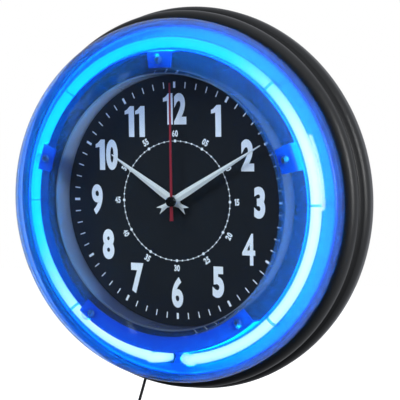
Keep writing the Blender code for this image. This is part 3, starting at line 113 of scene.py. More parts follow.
def new_finish(name):
    """An empty material, with its tree and its output's surface."""
    made = bpy.data.materials.new(name)
    made.use_nodes = True
    made.node_tree.nodes.clear()
    output = add(made.node_tree, "ShaderNodeOutputMaterial")
    return made, made.node_tree, output.inputs["Surface"]


def blend(tree, factor, first, second):
    """A colour between two hex colours, by a factor's socket."""
    made = add(tree, "ShaderNodeMix", data_type="RGBA")
    tree.links.new(factor, made.inputs["Factor"])
    colours = [s for s in made.inputs if s.type == "RGBA"]
    colours[0].default_value = linear(first)
    colours[1].default_value = linear(second)
    return [s for s in made.outputs if s.type == "RGBA"][0]


def moulded(name, dark, light, roughness, grain, relief, **sockets):
    """A moulded or extruded plastic or rubber: two close tones in clouds, and a fine relief.
    Grain is the size in metres of one grain of the mould's texture."""
    made, tree, surface = new_finish(name)
    place = add(tree, "ShaderNodeTexCoord").outputs["Object"]
    clouds = add(tree, "ShaderNodeTexNoise", {"Vector": place, "Scale": 22.0, "Detail": 3.0})
    grains = add(tree, "ShaderNodeTexNoise", {"Vector": place, "Scale": 1.0 / grain, "Detail": 2.0})
    gloss = add(tree, "ShaderNodeMapRange", {"Value": grains.outputs["Fac"],
                                             "To Min": roughness * 0.85, "To Max": roughness * 1.15})
    bump = add(tree, "ShaderNodeBump", {"Height": grains.outputs["Fac"], "Strength": relief,
                                        "Distance": grain / 3})
    shader = add(tree, "ShaderNodeBsdfPrincipled", {
        "Base Color": blend(tree, clouds.outputs["Fac"], dark, light),
        "Roughness": gloss.outputs["Result"], "Normal": bump.outputs["Normal"], "IOR": 1.5, **sockets})
    tree.links.new(shader.outputs["BSDF"], surface)
    return made


soft_pvc = moulded("soft_pvc_flex", "#121213", "#1b1b1d", 0.45, 0.0012, 0.25)

HANG = Matrix.Translation((0.0, 0.0, DIAL_CENTRE.z)) @ Matrix.Rotation(pi / 2, 4, "X")
LEAD_DIAMETER = 0.0030
GLAND_ANGLE = radians(198.0)
GLAND_LEVEL = 0.0072


def out_of_gland(radius):
    """A point on the line along which the lead leaves the case."""
    return (radius * sin(GLAND_ANGLE), radius * cos(GLAND_ANGLE), GLAND_LEVEL)


CASE_RADIUS = 0.1905
GLAND_END = CASE_RADIUS - 0.0010
run_end = out_of_gland(GLAND_END + 0.0225)


def below_rim(across, fall, level):
    """A point across from where the lead starts to hang, below the rim and off the wall."""
    return (run_end[0] + across, fall - CASE_RADIUS, level)


COIL_CENTRE = Vector(below_rim(0.0095, -0.0655, 0.0085))
adapter_top = below_rim(-0.0073, -0.1038, 0.0170)
# in the clock's own frame: to the right, up the dial, and out from the wall
lead_route = [out_of_gland(GLAND_END + 0.0003), out_of_gland(GLAND_END + 0.0065),
              out_of_gland(GLAND_END + 0.0140), run_end, below_rim(-0.0031, -0.0205, 0.0073),
              below_rim(-0.0058, -0.0295, 0.0075), below_rim(-0.0078, -0.0380, 0.0080),
              below_rim(-0.0090, -0.0455, 0.0084), tuple(COIL_CENTRE + Vector((-0.0190, 0.0169, 0.0)))]
tail_route = [tuple(COIL_CENTRE - Vector((0.0190, 0.0169, 0.0))), below_rim(-0.0094, -0.0865, 0.0096),
              below_rim(-0.0086, -0.0910, 0.0128), below_rim(-0.0077, -0.0955, 0.0158),
              (adapter_top[0], adapter_top[1] + 0.0040, adapter_top[2]),
              (adapter_top[0], adapter_top[1] + 0.0003, adapter_top[2])]
COIL_TURNS = 15
COIL_COLUMNS = (0.0222, 0.0192, 0.0162, 0.0132)
COIL_LAYERS = (0.0037, 0.0069, 0.0101, 0.0133)
POINTS_A_TURN = 24


def coil_points():
    """Turns laid side by side: in through one layer and out through the next, column by column."""
    first = Vector(lead_route[-1]) - COIL_CENTRE
    last = Vector(tail_route[0]) - COIL_CENTRE
    start = atan2(first.y, first.x)
    sweep = 2 * pi * COIL_TURNS + (atan2(last.y, last.x) - start) % (2 * pi)
    cells = []
    for i, layer in enumerate(COIL_LAYERS):
        row = COIL_COLUMNS if i % 2 == 0 else COIL_COLUMNS[::-1]
        cells += [(radius, layer) for radius in row]
    stations = [(first.xy.length, COIL_CENTRE.z), *cells, (last.xy.length, COIL_CENTRE.z)]
    count = int(COIL_TURNS * POINTS_A_TURN)
    points = []
    for i in range(1, count):
        share = i / count * (len(stations) - 1)
        here = min(int(share), len(stations) - 2)
        ease = min(1.0, (share - here) / 0.30)
        ease = ease * ease * (3 - 2 * ease)
        radius = stations[here][0] + (stations[here + 1][0] - stations[here][0]) * ease
        height = stations[here][1] + (stations[here + 1][1] - stations[here][1]) * ease
        angle = start + sweep * i / count
        points.append((COIL_CENTRE.x + radius * cos(angle), COIL_CENTRE.y + radius * sin(angle), height))
    return points


# inside the adapter the lead runs on to where its cores are soldered
soldered = (adapter_top[0], adapter_top[1] - 0.0100, adapter_top[2])
route = [HANG @ Vector(point) for point in lead_route + coil_points() + tail_route + [soldered]]
lead_curve = bpy.data.curves.new("lead", "CURVE")
lead_curve.dimensions = "3D"
lead_curve.bevel_depth = LEAD_DIAMETER / 2
lead_curve.bevel_resolution = 4
lead_curve.resolution_u = 4
lead_curve.use_fill_caps = True
spline = lead_curve.splines.new("NURBS")
spline.points.add(len(route) - 1)
for point, place in zip(spline.points, route):
    point.co = (*place, 1.0)
spline.order_u = 3
spline.use_endpoint_u = True
lead = bpy.data.objects.new("lead", lead_curve)
lead_curve.materials.append(soft_pvc)
bpy.context.scene.collection.objects.link(lead)
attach(lead, "root")
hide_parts("cord", "cord_coil", "cord_tail")


# ------------------------------------------------------------------ adapter
# The plug-in adapter is two ABS shells welded round their edge, with a spark-eroded texture, and
# two nickel-plated brass blades. A ribbed collar holds the lead where it comes out; it is not built here.
def hung(name, work, body, material, replaced=(), smooth=30.0):
    """Hang a clock-frame bmesh on the wall as a finished piece that rides on a body."""
    bmesh.ops.transform(work, matrix=HANG, verts=work.verts)
    mesh = bpy.data.meshes.new(name)
    work.to_mesh(mesh)
    work.free()
    mesh.shade_smooth()
    mesh.set_sharp_from_angle(angle=radians(smooth))
    mesh.materials.append(material)
    made = bpy.data.objects.new(name, mesh)
    bpy.context.scene.collection.objects.link(made)
    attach(made, body)
    if replaced:
        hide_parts(*replaced)
    return made


def box_between(low, high, round_edges=0.0, segments=3):
    """A box between two corners with rounded edges."""
    work = bmesh.new()
    bmesh.ops.create_cube(work, size=1.0)
    bmesh.ops.scale(work, verts=work.verts, vec=[high[i] - low[i] for i in range(3)])
    bmesh.ops.translate(work, verts=work.verts, vec=[(high[i] + low[i]) / 2 for i in range(3)])
    if round_edges:
        bmesh.ops.bevel(work, geom=work.edges[:], offset=round_edges, segments=segments,
                        affect="EDGES", profile=0.5, material=-1)
    return work


def clock_box(node):
    """A CAD node's two corners in the clock's frame."""
    low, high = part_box(node)
    return (Vector((low.x, low.z - DIAL_CENTRE.z, -high.y)),
            Vector((high.x, high.z - DIAL_CENTRE.z, -low.y)))


adapter_abs = moulded("spark_eroded_abs", "#151516", "#1d1d1f", 0.55, 0.0007, 0.5)
low, high = clock_box("power_adapter")
work = box_between(low, high, 0.0040, 4)
seam = (low.z + high.z) / 2
for height in (seam - 0.0004, seam + 0.0004):
    bmesh.ops.bisect_plane(work, geom=work.verts[:] + work.edges[:] + work.faces[:],
                           plane_co=(0.0, 0.0, height), plane_no=(0.0, 0.0, 1.0))
band = [f for f in work.faces if abs(f.calc_center_median().z - seam) < 0.0003]
bmesh.ops.inset_region(work, faces=band, thickness=0.0, depth=-0.0004, use_even_offset=True)
adapter = hung("adapter_body", work, "root", adapter_abs, ["power_adapter"])

# ------------------------------------------------------------------ floor and light
# A pale floor lies well below the clock. One large softbox stands at the upper left, a strip at
# the right and a panel above, and the room is white.
floor_work = bmesh.new()
bmesh.ops.create_grid(floor_work, x_segments=1, y_segments=1, size=4.0)
bmesh.ops.translate(floor_work, verts=floor_work.verts, vec=(0.0, 0.0, cad_box[0][2] - 0.30))
floor_mesh = bpy.data.meshes.new("floor")
floor_work.to_mesh(floor_mesh)
floor_work.free()
floor = bpy.data.objects.new("floor", floor_mesh)
floor_mesh.materials.append(moulded("pale_floor", "#f4f4f3", "#fafaf9", 0.8, 0.02, 0.05, **{
    "Emission Color": linear("#ffffff"), "Emission Strength": 0.7}))
bpy.context.scene.collection.objects.link(floor)
floor.visible_glossy = False
floor.visible_diffuse = False

world = bpy.data.worlds.new("white_room")
world.use_nodes = True
world.node_tree.nodes.clear()
tree = world.node_tree
ray = add(tree, "ShaderNodeLightPath")
way = add(tree, "ShaderNodeTexCoord").outputs["Generated"]
bright_side = add(tree, "ShaderNodeVectorMath", {0: way, 1: (0.75, 0.55, 0.35)}, operation="DOT_PRODUCT")
mirrored = add(tree, "ShaderNodeMapRange", {"Value": bright_side.outputs["Value"], "From Min": -0.60,
                                            "From Max": 0.45, "To Min": 0.05, "To Max": 0.8})
seen = add(tree, "ShaderNodeBackground", {"Color": linear("#ffffff"), "Strength": 1.0})
shiny = add(tree, "ShaderNodeBackground", {"Color": linear("#eef2fa"),
                                           "Strength": mirrored.outputs["Result"]})
dim = add(tree, "ShaderNodeBackground", {"Color": linear("#e8ecf6"), "Strength": 0.45})
lit = add(tree, "ShaderNodeMixShader", {0: ray.outputs["Is Glossy Ray"], 1: dim.outputs[0],
                                        2: shiny.outputs[0]})
room = add(tree, "ShaderNodeMixShader", {0: ray.outputs["Is Camera Ray"], 1: lit.outputs[0],
                                         2: seen.outputs[0]})
add(tree, "ShaderNodeOutputWorld", {"Surface": room.outputs[0]})
bpy.context.scene.world = world
bpy.context.scene.view_settings.view_transform = "Standard"


def softbox(name, place, size, power, mirrored_in_glass):
    """A rectangular softbox that faces the clock."""
    data = bpy.data.lights.new(name, "AREA")
    data.shape = "RECTANGLE"
    data.size, data.size_y = size
    data.energy = power
    made = bpy.data.objects.new(name, data)
    made.location = place
    made.rotation_euler = (DIAL_FRONT - made.location).to_track_quat("-Z", "Y").to_euler()
    made.visible_glossy = mirrored_in_glass
    bpy.context.scene.collection.objects.link(made)


softbox("softbox_left", (-1.7, -2.0, 1.6), (1.2, 1.2), 75.0, False)
softbox("softbox_right", (2.4, -0.8, 0.4), (0.5, 1.6), 24.0, True)
softbox("softbox_top", (0.2, -1.2, 1.9), (1.6, 0.8), 30.0, False)


# ------------------------------------------------------------------ case
# The case is one deep injection-moulded ABS tray with two rounded ribs round its wall. The mould
# was spark-eroded, so the black is satin and the ribs catch one soft highlight each.
def arc(centre, radius, start, end, steps):
    """Points of an arc in a profile's plane, with its angles in degrees."""
    angles = [radians(start + (end - start) * i / steps) for i in range(steps + 1)]
    return [(centre[0] + radius * cos(a), centre[1] + radius * sin(a)) for a in angles]


def spun(points, closed=True, segments=240, corners=None, corner_round=0.0):
    """A profile of (radius, height) points spun a full turn about the clock's axis. A profile
    with both ends on the axis is a solid of its own."""
    closed = closed and points[0][0] + points[-1][0] > 0.0
    work = bmesh.new()
    verts = [work.verts.new((radius, 0.0, height)) for radius, height in points]
    pairs = list(zip(verts, verts[1:] + verts[:1]))
    edges = [work.edges.new(pair) for pair in (pairs if closed else pairs[:-1])]
    if corner_round:
        chosen = verts if corners is None else [verts[i] for i in corners]
        bmesh.ops.bevel(work, geom=chosen, offset=corner_round, segments=3, affect="VERTICES",
                        profile=0.5, material=-1)
    bmesh.ops.spin(work, geom=work.verts[:] + work.edges[:], axis=(0.0, 0.0, 1.0),
                   cent=(0.0, 0.0, 0.0), angle=2 * pi, steps=segments, use_merge=True)
    bmesh.ops.remove_doubles(work, verts=work.verts, dist=0.000001)
    bmesh.ops.recalc_face_normals(work, faces=work.faces)
    return work


def clock_place(radius, angle):
    """A point on the dial plane, with its angle clockwise from twelve in degrees."""
    return Vector((radius * sin(radians(angle)), radius * cos(radians(angle)), 0.0))


def drum(work, radius, low, high, at, segments=48, tip=None):
    """Add a closed cylinder or cone that stands square to the dial over a point of it."""
    middle = Matrix.Translation((at[0], at[1], (low + high) / 2))
    return bmesh.ops.create_cone(work, cap_ends=True, segments=segments, radius1=radius,
                                 radius2=radius if tip is None else tip, depth=high - low,
                                 matrix=middle)["verts"]


def as_object(work, name):
    """A helper object that only cuts or joins another piece."""
    mesh = bpy.data.meshes.new(name)
    work.to_mesh(mesh)
    work.free()
    made = bpy.data.objects.new(name, mesh)
    bpy.context.scene.collection.objects.link(made)
    return made


def worked(body, steps, wall=0.0):
    """A bmesh given its wall, then joined with or cut by each tool in turn."""
    target = as_object(body, "blank")
    tools = []
    if wall:
        shell = target.modifiers.new("wall", "SOLIDIFY")
        shell.thickness = wall
        shell.offset = -1.0
        shell.use_even_offset = True
    for operation, tool in steps:
        tools.append(as_object(tool, "tool"))
        modifier = target.modifiers.new(operation.lower(), "BOOLEAN")
        modifier.operation = operation
        modifier.object = tools[-1]
        modifier.solver = "EXACT"
    bpy.context.view_layer.update()
    solved = target.evaluated_get(bpy.context.evaluated_depsgraph_get())
    result = bpy.data.meshes.new_from_object(solved)
    finished = bmesh.new()
    finished.from_mesh(result)
    for each in [target, *tools]:
        bpy.data.objects.remove(each, do_unlink=True)
    bpy.data.meshes.remove(result)
    bmesh.ops.remove_doubles(finished, verts=finished.verts, dist=0.000002)
    return finished


def extruded(outlines, low, high):
    """A flat outline with any holes, filled and raised from one level to another."""
    work = bmesh.new()
    edges = []
    for outline in outlines:
        verts = [work.verts.new((x, y, low)) for x, y in outline]
        edges += [work.edges.new(pair) for pair in zip(verts, verts[1:] + verts[:1])]
    bmesh.ops.triangle_fill(work, edges=edges, use_beauty=True, normal=(0.0, 0.0, 1.0))
    raised = bmesh.ops.extrude_face_region(work, geom=work.faces[:])["geom"]
    bmesh.ops.translate(work, verts=[v for v in raised if isinstance(v, bmesh.types.BMVert)],
                        vec=(0.0, 0.0, high - low))
    bmesh.ops.recalc_face_normals(work, faces=work.faces)
    return work


def keyhole(width, entry_radius, seat, entry):
    """A hanging slot's outline: a round entry under a narrow neck with a round seat."""
    half = width / 2
    lean = degrees(atan2((entry_radius ** 2 - half ** 2) ** 0.5, half))
    return (arc((0.0, seat - half), half, 0, 180, 12)
            + arc((0.0, entry), entry_radius, 180 - lean, 360 + lean, 32))


satin_abs = moulded("satin_abs", "#0e0f10", "#131415", 0.36, 0.0009, 0.18)

CASE_WALL = 0.0025
SEAT_RISE = -DIAL_CENTRE.z
case_outline = [(0.1500, 0.0430), (0.1757, 0.0430)]
case_outline += arc((0.1765, 0.0385), 0.0093, 88, -38, 22)
case_outline += arc((0.18605, 0.02855), 0.0042, 140, 222, 9)
case_outline += arc((0.1815, 0.0170), 0.0090, 58, 0, 14)
case_outline += [(0.1902, 0.0120), (0.1893, 0.0075), (0.1880, 0.0040), (0.1868, 0.0016),
                 (0.1857, 0.0003), (0.1845, 0.0), (0.0820, 0.0), (0.0820, 0.0030), (0.0680, 0.0030)]
ENTRY_DROP = 0.0100
slot_tool = extruded([keyhole(0.0074, 0.0062, SEAT_RISE + 0.0012, SEAT_RISE - ENTRY_DROP)], -0.002, 0.005)
COVER_SCREW_SPOTS = [clock_place(0.0750, 60.0 + 120.0 * i) for i in range(3)]
COVER_SCREW_HOLE = 0.0019
case_holes = bmesh.new()
for spot in COVER_SCREW_SPOTS:
    drum(case_holes, COVER_SCREW_HOLE, 0.0005, 0.0080, spot)
TUBE_CIRCLE = 0.1540
TUBE_GAP = 0.0107
BOOT_HOLE = 0.0091
tube_exit = (TUBE_GAP, -(TUBE_CIRCLE ** 2 - TUBE_GAP ** 2) ** 0.5)
for sign in (-1.0, 1.0):
    drum(case_holes, BOOT_HOLE, 0.0380, 0.0520, (sign * tube_exit[0], tube_exit[1]))
GLAND_WAY = Matrix.Translation((0.0, 0.0, GLAND_LEVEL)) @ Vector(
    (sin(GLAND_ANGLE), cos(GLAND_ANGLE), 0.0)).to_track_quat("Z", "Y").to_matrix().to_4x4()
gland_hole = bmesh.new()
drum(gland_hole, 0.0037, 0.1820, 0.1960, (0.0, 0.0), 32)
bmesh.ops.transform(gland_hole, matrix=GLAND_WAY, verts=gland_hole.verts)
hung("case_shell", worked(spun(case_outline, closed=False),
                          [("DIFFERENCE", slot_tool), ("DIFFERENCE", case_holes),
                           ("DIFFERENCE", gland_hole)], CASE_WALL),
     "root", satin_abs, ["rear_case"], smooth=35.0)


# ------------------------------------------------------------------ reflector
# Behind the tube lies a vacuum-formed tray of glossy styrene, its blue colour painted tube light. Its
# floor and sloped wall throw the tube's light forward, and five tabs bridge its open windows and carry
# the screws.
# vacuum-formed sheet keeps a smooth gloss with a slow orange peel
# the sheet's blue base colours are painted light from the tube, not the styrene's own colour
reflector_styrene = moulded("styrene_painted_blue_glow", "#0846c8", "#1056de", 0.22, 0.006, 0.06)
reflector_outline = [(0.1295, 0.0760), (0.1440, 0.0760), (0.1465, 0.0511), (0.1505, 0.0481),
                     (0.1600, 0.0481), (0.1685, 0.0501), (0.1705, 0.0521)]


def sector(inner, outer, start, end, steps):
    """Outline of a ring sector between two clock angles."""
    turns = [start + (end - start) * i / steps for i in range(steps + 1)]
    return [clock_place(outer, a).xy for a in turns] + [clock_place(inner, a).xy for a in reversed(turns)]


SCREW_CIRCLE = 0.1370
SCREW_PITCH = 72.0
SCREW_HOLE = 0.0020
LENS_SCREW_SPOTS = [clock_place(SCREW_CIRCLE, SCREW_PITCH * i) for i in range(5)]
TAB_HALF = degrees(0.0125 / SCREW_CIRCLE)
tools = []
for i in (0, 1, 3, 4):
    window = sector(0.1265, 0.1465, SCREW_PITCH * i + TAB_HALF, SCREW_PITCH * (i + 1) - TAB_HALF, 40)
    tools.append(("DIFFERENCE", extruded([window], 0.0540, 0.0790)))
reflector_holes = bmesh.new()
for spot in LENS_SCREW_SPOTS:
    drum(reflector_holes, SCREW_HOLE, 0.0720, 0.0780, spot, 24)
for sign in (-1.0, 1.0):
    drum(reflector_holes, BOOT_HOLE, 0.0450, 0.0500, (sign * tube_exit[0], tube_exit[1]))
tools.append(("DIFFERENCE", reflector_holes))
hung("tube_reflector", worked(spun(reflector_outline, closed=False, corners=[1, 2, 3, 4, 5],
                                   corner_round=0.0012), tools, 0.0015),
     "root", reflector_styrene, ["reflector_ring"], smooth=40.0)

# ------------------------------------------------------------------ tube
# The tube is 12.5 mm lead glass bent to a ring and filled with gas that burns blue-white. Both
# ends turn back through the reflector to their electrodes, so the ring has a gap at six o'clock.
TUBE_HEIGHT = 0.0627
TUBE_RADIUS = 0.00625
TUBE_WALL = 0.0011
TUBE_BEND = 0.0140
TUBE_FOOT = 0.0400


def tube_line(foot):
    """The tube's centre line from one turned-back end round to the other."""
    reach = degrees((TUBE_GAP + TUBE_BEND) / TUBE_CIRCLE)
    ring = [(*clock_place(TUBE_CIRCLE, 180.0 - reach - (360.0 - 2 * reach) * i / 240).xy, TUBE_HEIGHT)
            for i in range(241)]
    bend = []
    for i in range(12):
        angle = pi / 2 * i / 12
        bend.append((TUBE_GAP + TUBE_BEND * (1 - cos(angle)), tube_exit[1],
                     TUBE_HEIGHT - TUBE_BEND * (1 - sin(angle))))
    down = [(*tube_exit, foot)] + bend
    return down + ring + [(-x, y, z) for x, y, z in reversed(down)]


def tube_mesh(name, points, radius, sides):
    """A round rod along a line, as a bmesh in the clock's frame."""
    curve = bpy.data.curves.new(name, "CURVE")
    curve.dimensions = "3D"
    curve.bevel_depth = radius
    curve.bevel_resolution = sides
    curve.use_fill_caps = True
    line = curve.splines.new("POLY")
    line.points.add(len(points) - 1)
    for point, place in zip(line.points, points):
        point.co = (*place, 1.0)
    source = bpy.data.objects.new(name, curve)
    bpy.context.scene.collection.objects.link(source)
    bpy.context.view_layer.update()
    swept = source.evaluated_get(bpy.context.evaluated_depsgraph_get())
    result = bpy.data.meshes.new_from_object(swept)
    work = bmesh.new()
    work.from_mesh(result)
    bpy.data.objects.remove(source, do_unlink=True)
    bpy.data.curves.remove(curve)
    bpy.data.meshes.remove(result)
    bmesh.ops.remove_doubles(work, verts=work.verts, dist=0.000001)
    return work


def clear_sheet(name, tint, edge_tint, gloss, haze, haze_and_glow_tint="#6db4ff", lowest=0.04):
    """Clear plastic or glass with thin walls: light goes straight through, edges show a tint,
    a slight haze catches light, and the surface mirrors more at a grazing angle. The haze's
    blue default colour is painted tube glow; a pale haze colour is the sheet's own."""
    made, tree, surface = new_finish(name)
    place = add(tree, "ShaderNodeTexCoord").outputs["Object"]
    waves = add(tree, "ShaderNodeTexNoise", {"Vector": place, "Scale": 30.0, "Detail": 2.0})
    bump = add(tree, "ShaderNodeBump", {"Height": waves.outputs["Fac"], "Strength": 0.01,
                                        "Distance": 0.001})
    edge = add(tree, "ShaderNodeLayerWeight", {"Blend": 0.5}).outputs["Facing"]
    body = add(tree, "ShaderNodeBsdfTransparent", {"Color": blend(tree, edge, tint, edge_tint)})
    # the blue default haze colour is painted glow of the tube, not a colour of the clear sheet
    front = add(tree, "ShaderNodeBsdfDiffuse", {"Color": linear(haze_and_glow_tint)})
    behind = add(tree, "ShaderNodeBsdfTranslucent", {"Color": linear(haze_and_glow_tint)})
    milk = add(tree, "ShaderNodeMixShader", {0: 0.85, 1: front.outputs[0], 2: behind.outputs[0]})
    depth = add(tree, "ShaderNodeMapRange", {"Value": waves.outputs["Fac"], "To Min": haze * 0.92,
                                             "To Max": haze * 1.08})
    clouded = add(tree, "ShaderNodeMixShader", {0: depth.outputs["Result"], 1: body.outputs[0],
                                                2: milk.outputs[0]})
    mirror = add(tree, "ShaderNodeBsdfGlossy", {"Roughness": gloss, "Normal": bump.outputs["Normal"]})
    grazing = add(tree, "ShaderNodeMath", {0: edge, 1: 5.0}, operation="POWER")
    share = add(tree, "ShaderNodeMapRange", {"Value": grazing.outputs[0], "To Min": lowest})
    mix = add(tree, "ShaderNodeMixShader", {0: share.outputs["Result"], 1: clouded.outputs[0],
                                            2: mirror.outputs[0]})
    tree.links.new(mix.outputs[0], surface)
    return made


burning_gas, tree, surface = new_finish("burning_gas")
ray = add(tree, "ShaderNodeLightPath")
place = add(tree, "ShaderNodeTexCoord").outputs["Object"]
flicker = add(tree, "ShaderNodeTexNoise", {"Vector": place, "Scale": 60.0, "Detail": 1.0})
level_out = add(tree, "ShaderNodeMapRange", {"Value": flicker.outputs["Fac"], "To Min": 1.5,
                                             "To Max": 1.7}).outputs["Result"]
far = add(tree, "ShaderNodeVectorMath", {0: place, 1: (-0.62, 0.0, 0.78)}, operation="DOT_PRODUCT")
cooler = add(tree, "ShaderNodeMapRange", {"Value": far.outputs["Value"], "From Min": -0.16,
                                          "From Max": -0.02}, interpolation_type="SMOOTHSTEP")
core = add(tree, "ShaderNodeEmission", {
    "Color": blend(tree, cooler.outputs["Result"], "#f4ffff", "#10d8ff"), "Strength": level_out})
thrown = add(tree, "ShaderNodeEmission", {"Color": (0.0, 0.56, 1.0, 1.0), "Strength": 16.0})
glow = add(tree, "ShaderNodeMixShader", {0: ray.outputs["Is Camera Ray"], 1: thrown.outputs[0],
                                         2: core.outputs[0]})
tree.links.new(glow.outputs[0], surface)
tube_glass = clear_sheet("lead_glass_tube", "#f4fdff", "#38c8ff", 0.03, 0.03)

hung("tube_gas", tube_mesh("gas", tube_line(TUBE_FOOT + 0.0010), TUBE_RADIUS - TUBE_WALL, 6),
     "root", burning_gas)
hung("tube_glass", tube_mesh("glass", tube_line(TUBE_FOOT), TUBE_RADIUS, 7),
     "root", tube_glass, ["neon_tube"])

# ------------------------------------------------------------------ electrode boots
# Each end of the tube sits in a moulded silicone boot that covers its electrode. Three ribs
# round the boot grip the edge of the hole in the panel.
FIT_GAP = 0.0003
boot_rubber = moulded("silicone_boot", "#101011", "#181819", 0.7, 0.0015, 0.3)
for side, sign in (("left", -1.0), ("right", 1.0)):
    low, high = clock_box("electrode_boot_" + side)
    outer = (high.x - low.x) / 2
    ribs = []
    for i in range(3):
        base = low.z + 0.0040 + 0.0030 * i
        ribs += [(outer, base), (outer, base + 0.0012), (outer - 0.0006, base + 0.0015),
                 (outer - 0.0006, base + 0.0028)]
    profile = [(0.0, low.z), (outer, low.z), *ribs, (outer, high.z), (TUBE_RADIUS + FIT_GAP, high.z),
               (TUBE_RADIUS + FIT_GAP, TUBE_FOOT - FIT_GAP), (0.0, TUBE_FOOT - FIT_GAP)]
    work = spun(profile, segments=48)
    bmesh.ops.translate(work, verts=work.verts, vec=(sign * tube_exit[0], tube_exit[1], 0.0))
    hung("boot_" + side, work, "root", boot_rubber, ["electrode_boot_" + side])

# ------------------------------------------------------------------ tube clips
# Six springy polycarbonate clips stand on the reflector's floor and snap round the tube, as a
# split ring on a short foot.
clip_plastic = clear_sheet("clear_polycarbonate", "#b8e8ff", "#58b8f8", 0.08, 0.06)
CLIP_WALL = 0.0013
clip_bore = TUBE_RADIUS + FIT_GAP
clip_outline = arc((0.0, 0.0), clip_bore + CLIP_WALL, -60, 240, 30)
clip_outline += [(-0.0032, -0.0143), (0.0032, -0.0143)]
for i, angle in enumerate((45.0, 90.0, 135.0, 225.0, 270.0, 315.0)):
    work = extruded([clip_outline, arc((0.0, 0.0), clip_bore, 0, 350, 35)], -0.00125, 0.00125)
    spot = clock_place(TUBE_CIRCLE, angle)
    outward = spot.normalized()
    forward = Vector((0.0, 0.0, 1.0))
    stand = Matrix((outward, forward, outward.cross(forward))).transposed().to_4x4()
    bmesh.ops.transform(work, matrix=Matrix.Translation((spot.x, spot.y, TUBE_HEIGHT)) @ stand,
                        verts=work.verts)
    number = str(i + 1)
    hung("clip_" + number, work, "root", clip_plastic, ["tube_clip_" + number])

# ------------------------------------------------------------------ lens
# The ring lens is polished clear acrylic, moulded in one piece with five hollow bosses that the
# screws sit in. It shows the tube plainly; the blue it carries out to the rim is painted tube glow in its
# haze colour.
lens_acrylic = clear_sheet("polished_acrylic", "#f6fbff", "#b4d4fa", 0.02, 0.075)
LENS_CREST = (0.1400, 0.0530)
LENS_ROUND = 0.0380
BOSS_BASE = 0.0763
BOSS_SEAT = 0.0793
lens_outline = [(0.1247, 0.0724)]
lens_outline += arc(LENS_CREST, LENS_ROUND, 107.3, 0, 48)
lens_outline += arc((0.1715, 0.0530), 0.0065, -5, -60, 10)
lens_outline += [(lens_outline[-1][0], 0.0433)]
bosses = bmesh.new()
bores = bmesh.new()
screw_ways = bmesh.new()
for spot in LENS_SCREW_SPOTS:
    drum(bosses, 0.0056, BOSS_BASE, 0.0890, spot, 40)
    drum(bores, 0.0044, BOSS_SEAT, 0.0940, spot, 40)
    drum(screw_ways, SCREW_HOLE, BOSS_BASE - 0.002, BOSS_SEAT + 0.0005, spot, 24)
hung("ring_lens", worked(spun(lens_outline, closed=False, segments=216),
                         [("UNION", bosses), ("DIFFERENCE", bores), ("DIFFERENCE", screw_ways)], 0.0025),
     "root", lens_acrylic, ["front_lens"], smooth=35.0)


# ------------------------------------------------------------------ screws
# The lens screws are cross-head pan screws in bright zinc plate, and the cover's are countersunk.
# Plating over a formed head leaves fine turning marks and slight dulling in the cross.
def plated(name, dark, light, roughness, grain, stretch=(1.0, 1.0, 1.0), metal=1.0):
    """Bare or plated metal: fine marks, drawn out along one way by stretch. A frosted metal
    mirrors less than its whole share of the light."""
    made, tree, surface = new_finish(name)
    place = add(tree, "ShaderNodeTexCoord").outputs["Object"]
    drawn = add(tree, "ShaderNodeMapping", {"Vector": place, "Scale": stretch})
    marks = add(tree, "ShaderNodeTexNoise", {"Vector": drawn.outputs["Vector"], "Scale": 1.0 / grain,
                                             "Detail": 3.0})
    gloss = add(tree, "ShaderNodeMapRange", {"Value": marks.outputs["Fac"], "To Min": roughness * 0.8,
                                             "To Max": roughness * 1.25})
    bump = add(tree, "ShaderNodeBump", {"Height": marks.outputs["Fac"], "Strength": 0.15,
                                        "Distance": grain / 4})
    shader = add(tree, "ShaderNodeBsdfPrincipled", {
        "Base Color": blend(tree, marks.outputs["Fac"], dark, light), "Metallic": metal,
        "Roughness": gloss.outputs["Result"], "Normal": bump.outputs["Normal"]})
    tree.links.new(shader.outputs["BSDF"], surface)
    return made


zinc_plate = plated("zinc_plated_steel", "#9a9da3", "#c9ccd2", 0.30, 0.0005)


def cross_recess(low, high, reach, width, at, narrow_low=True):
    """The two cuts of a screw's cross recess, each narrower at its bottom."""
    cuts = []
    for half_x, half_y in ((reach, width / 2), (width / 2, reach)):
        work = box_between((-half_x, -half_y, low), (half_x, half_y, high))
        bottom = low if narrow_low else high
        for vert in work.verts:
            if abs(vert.co.z - bottom) < 0.00001:
                vert.co.xy *= 0.55
        bmesh.ops.translate(work, verts=work.verts, vec=(at[0], at[1], 0.0))
        cuts.append(("DIFFERENCE", work))
    return cuts


head = BOSS_SEAT + FIT_GAP
pan_outline = [(0.0, head + 0.0025), (0.0014, head + 0.0024), (0.0028, head + 0.0019),
               (0.0037, head + 0.0010), (0.0040, head), (0.0016, head), (0.0016, head - 0.0090),
               (0.0, head - 0.0100)]
for i, spot in enumerate(LENS_SCREW_SPOTS):
    work = spun(pan_outline, segments=32)
    bmesh.ops.translate(work, verts=work.verts, vec=spot)
    work = worked(work, cross_recess(head + 0.0008, head + 0.0040, 0.0021, 0.0009, spot))
    number = str(i + 1)
    hung("pan_screw_" + number, work, "root", zinc_plate, ["lens_screw_" + number])

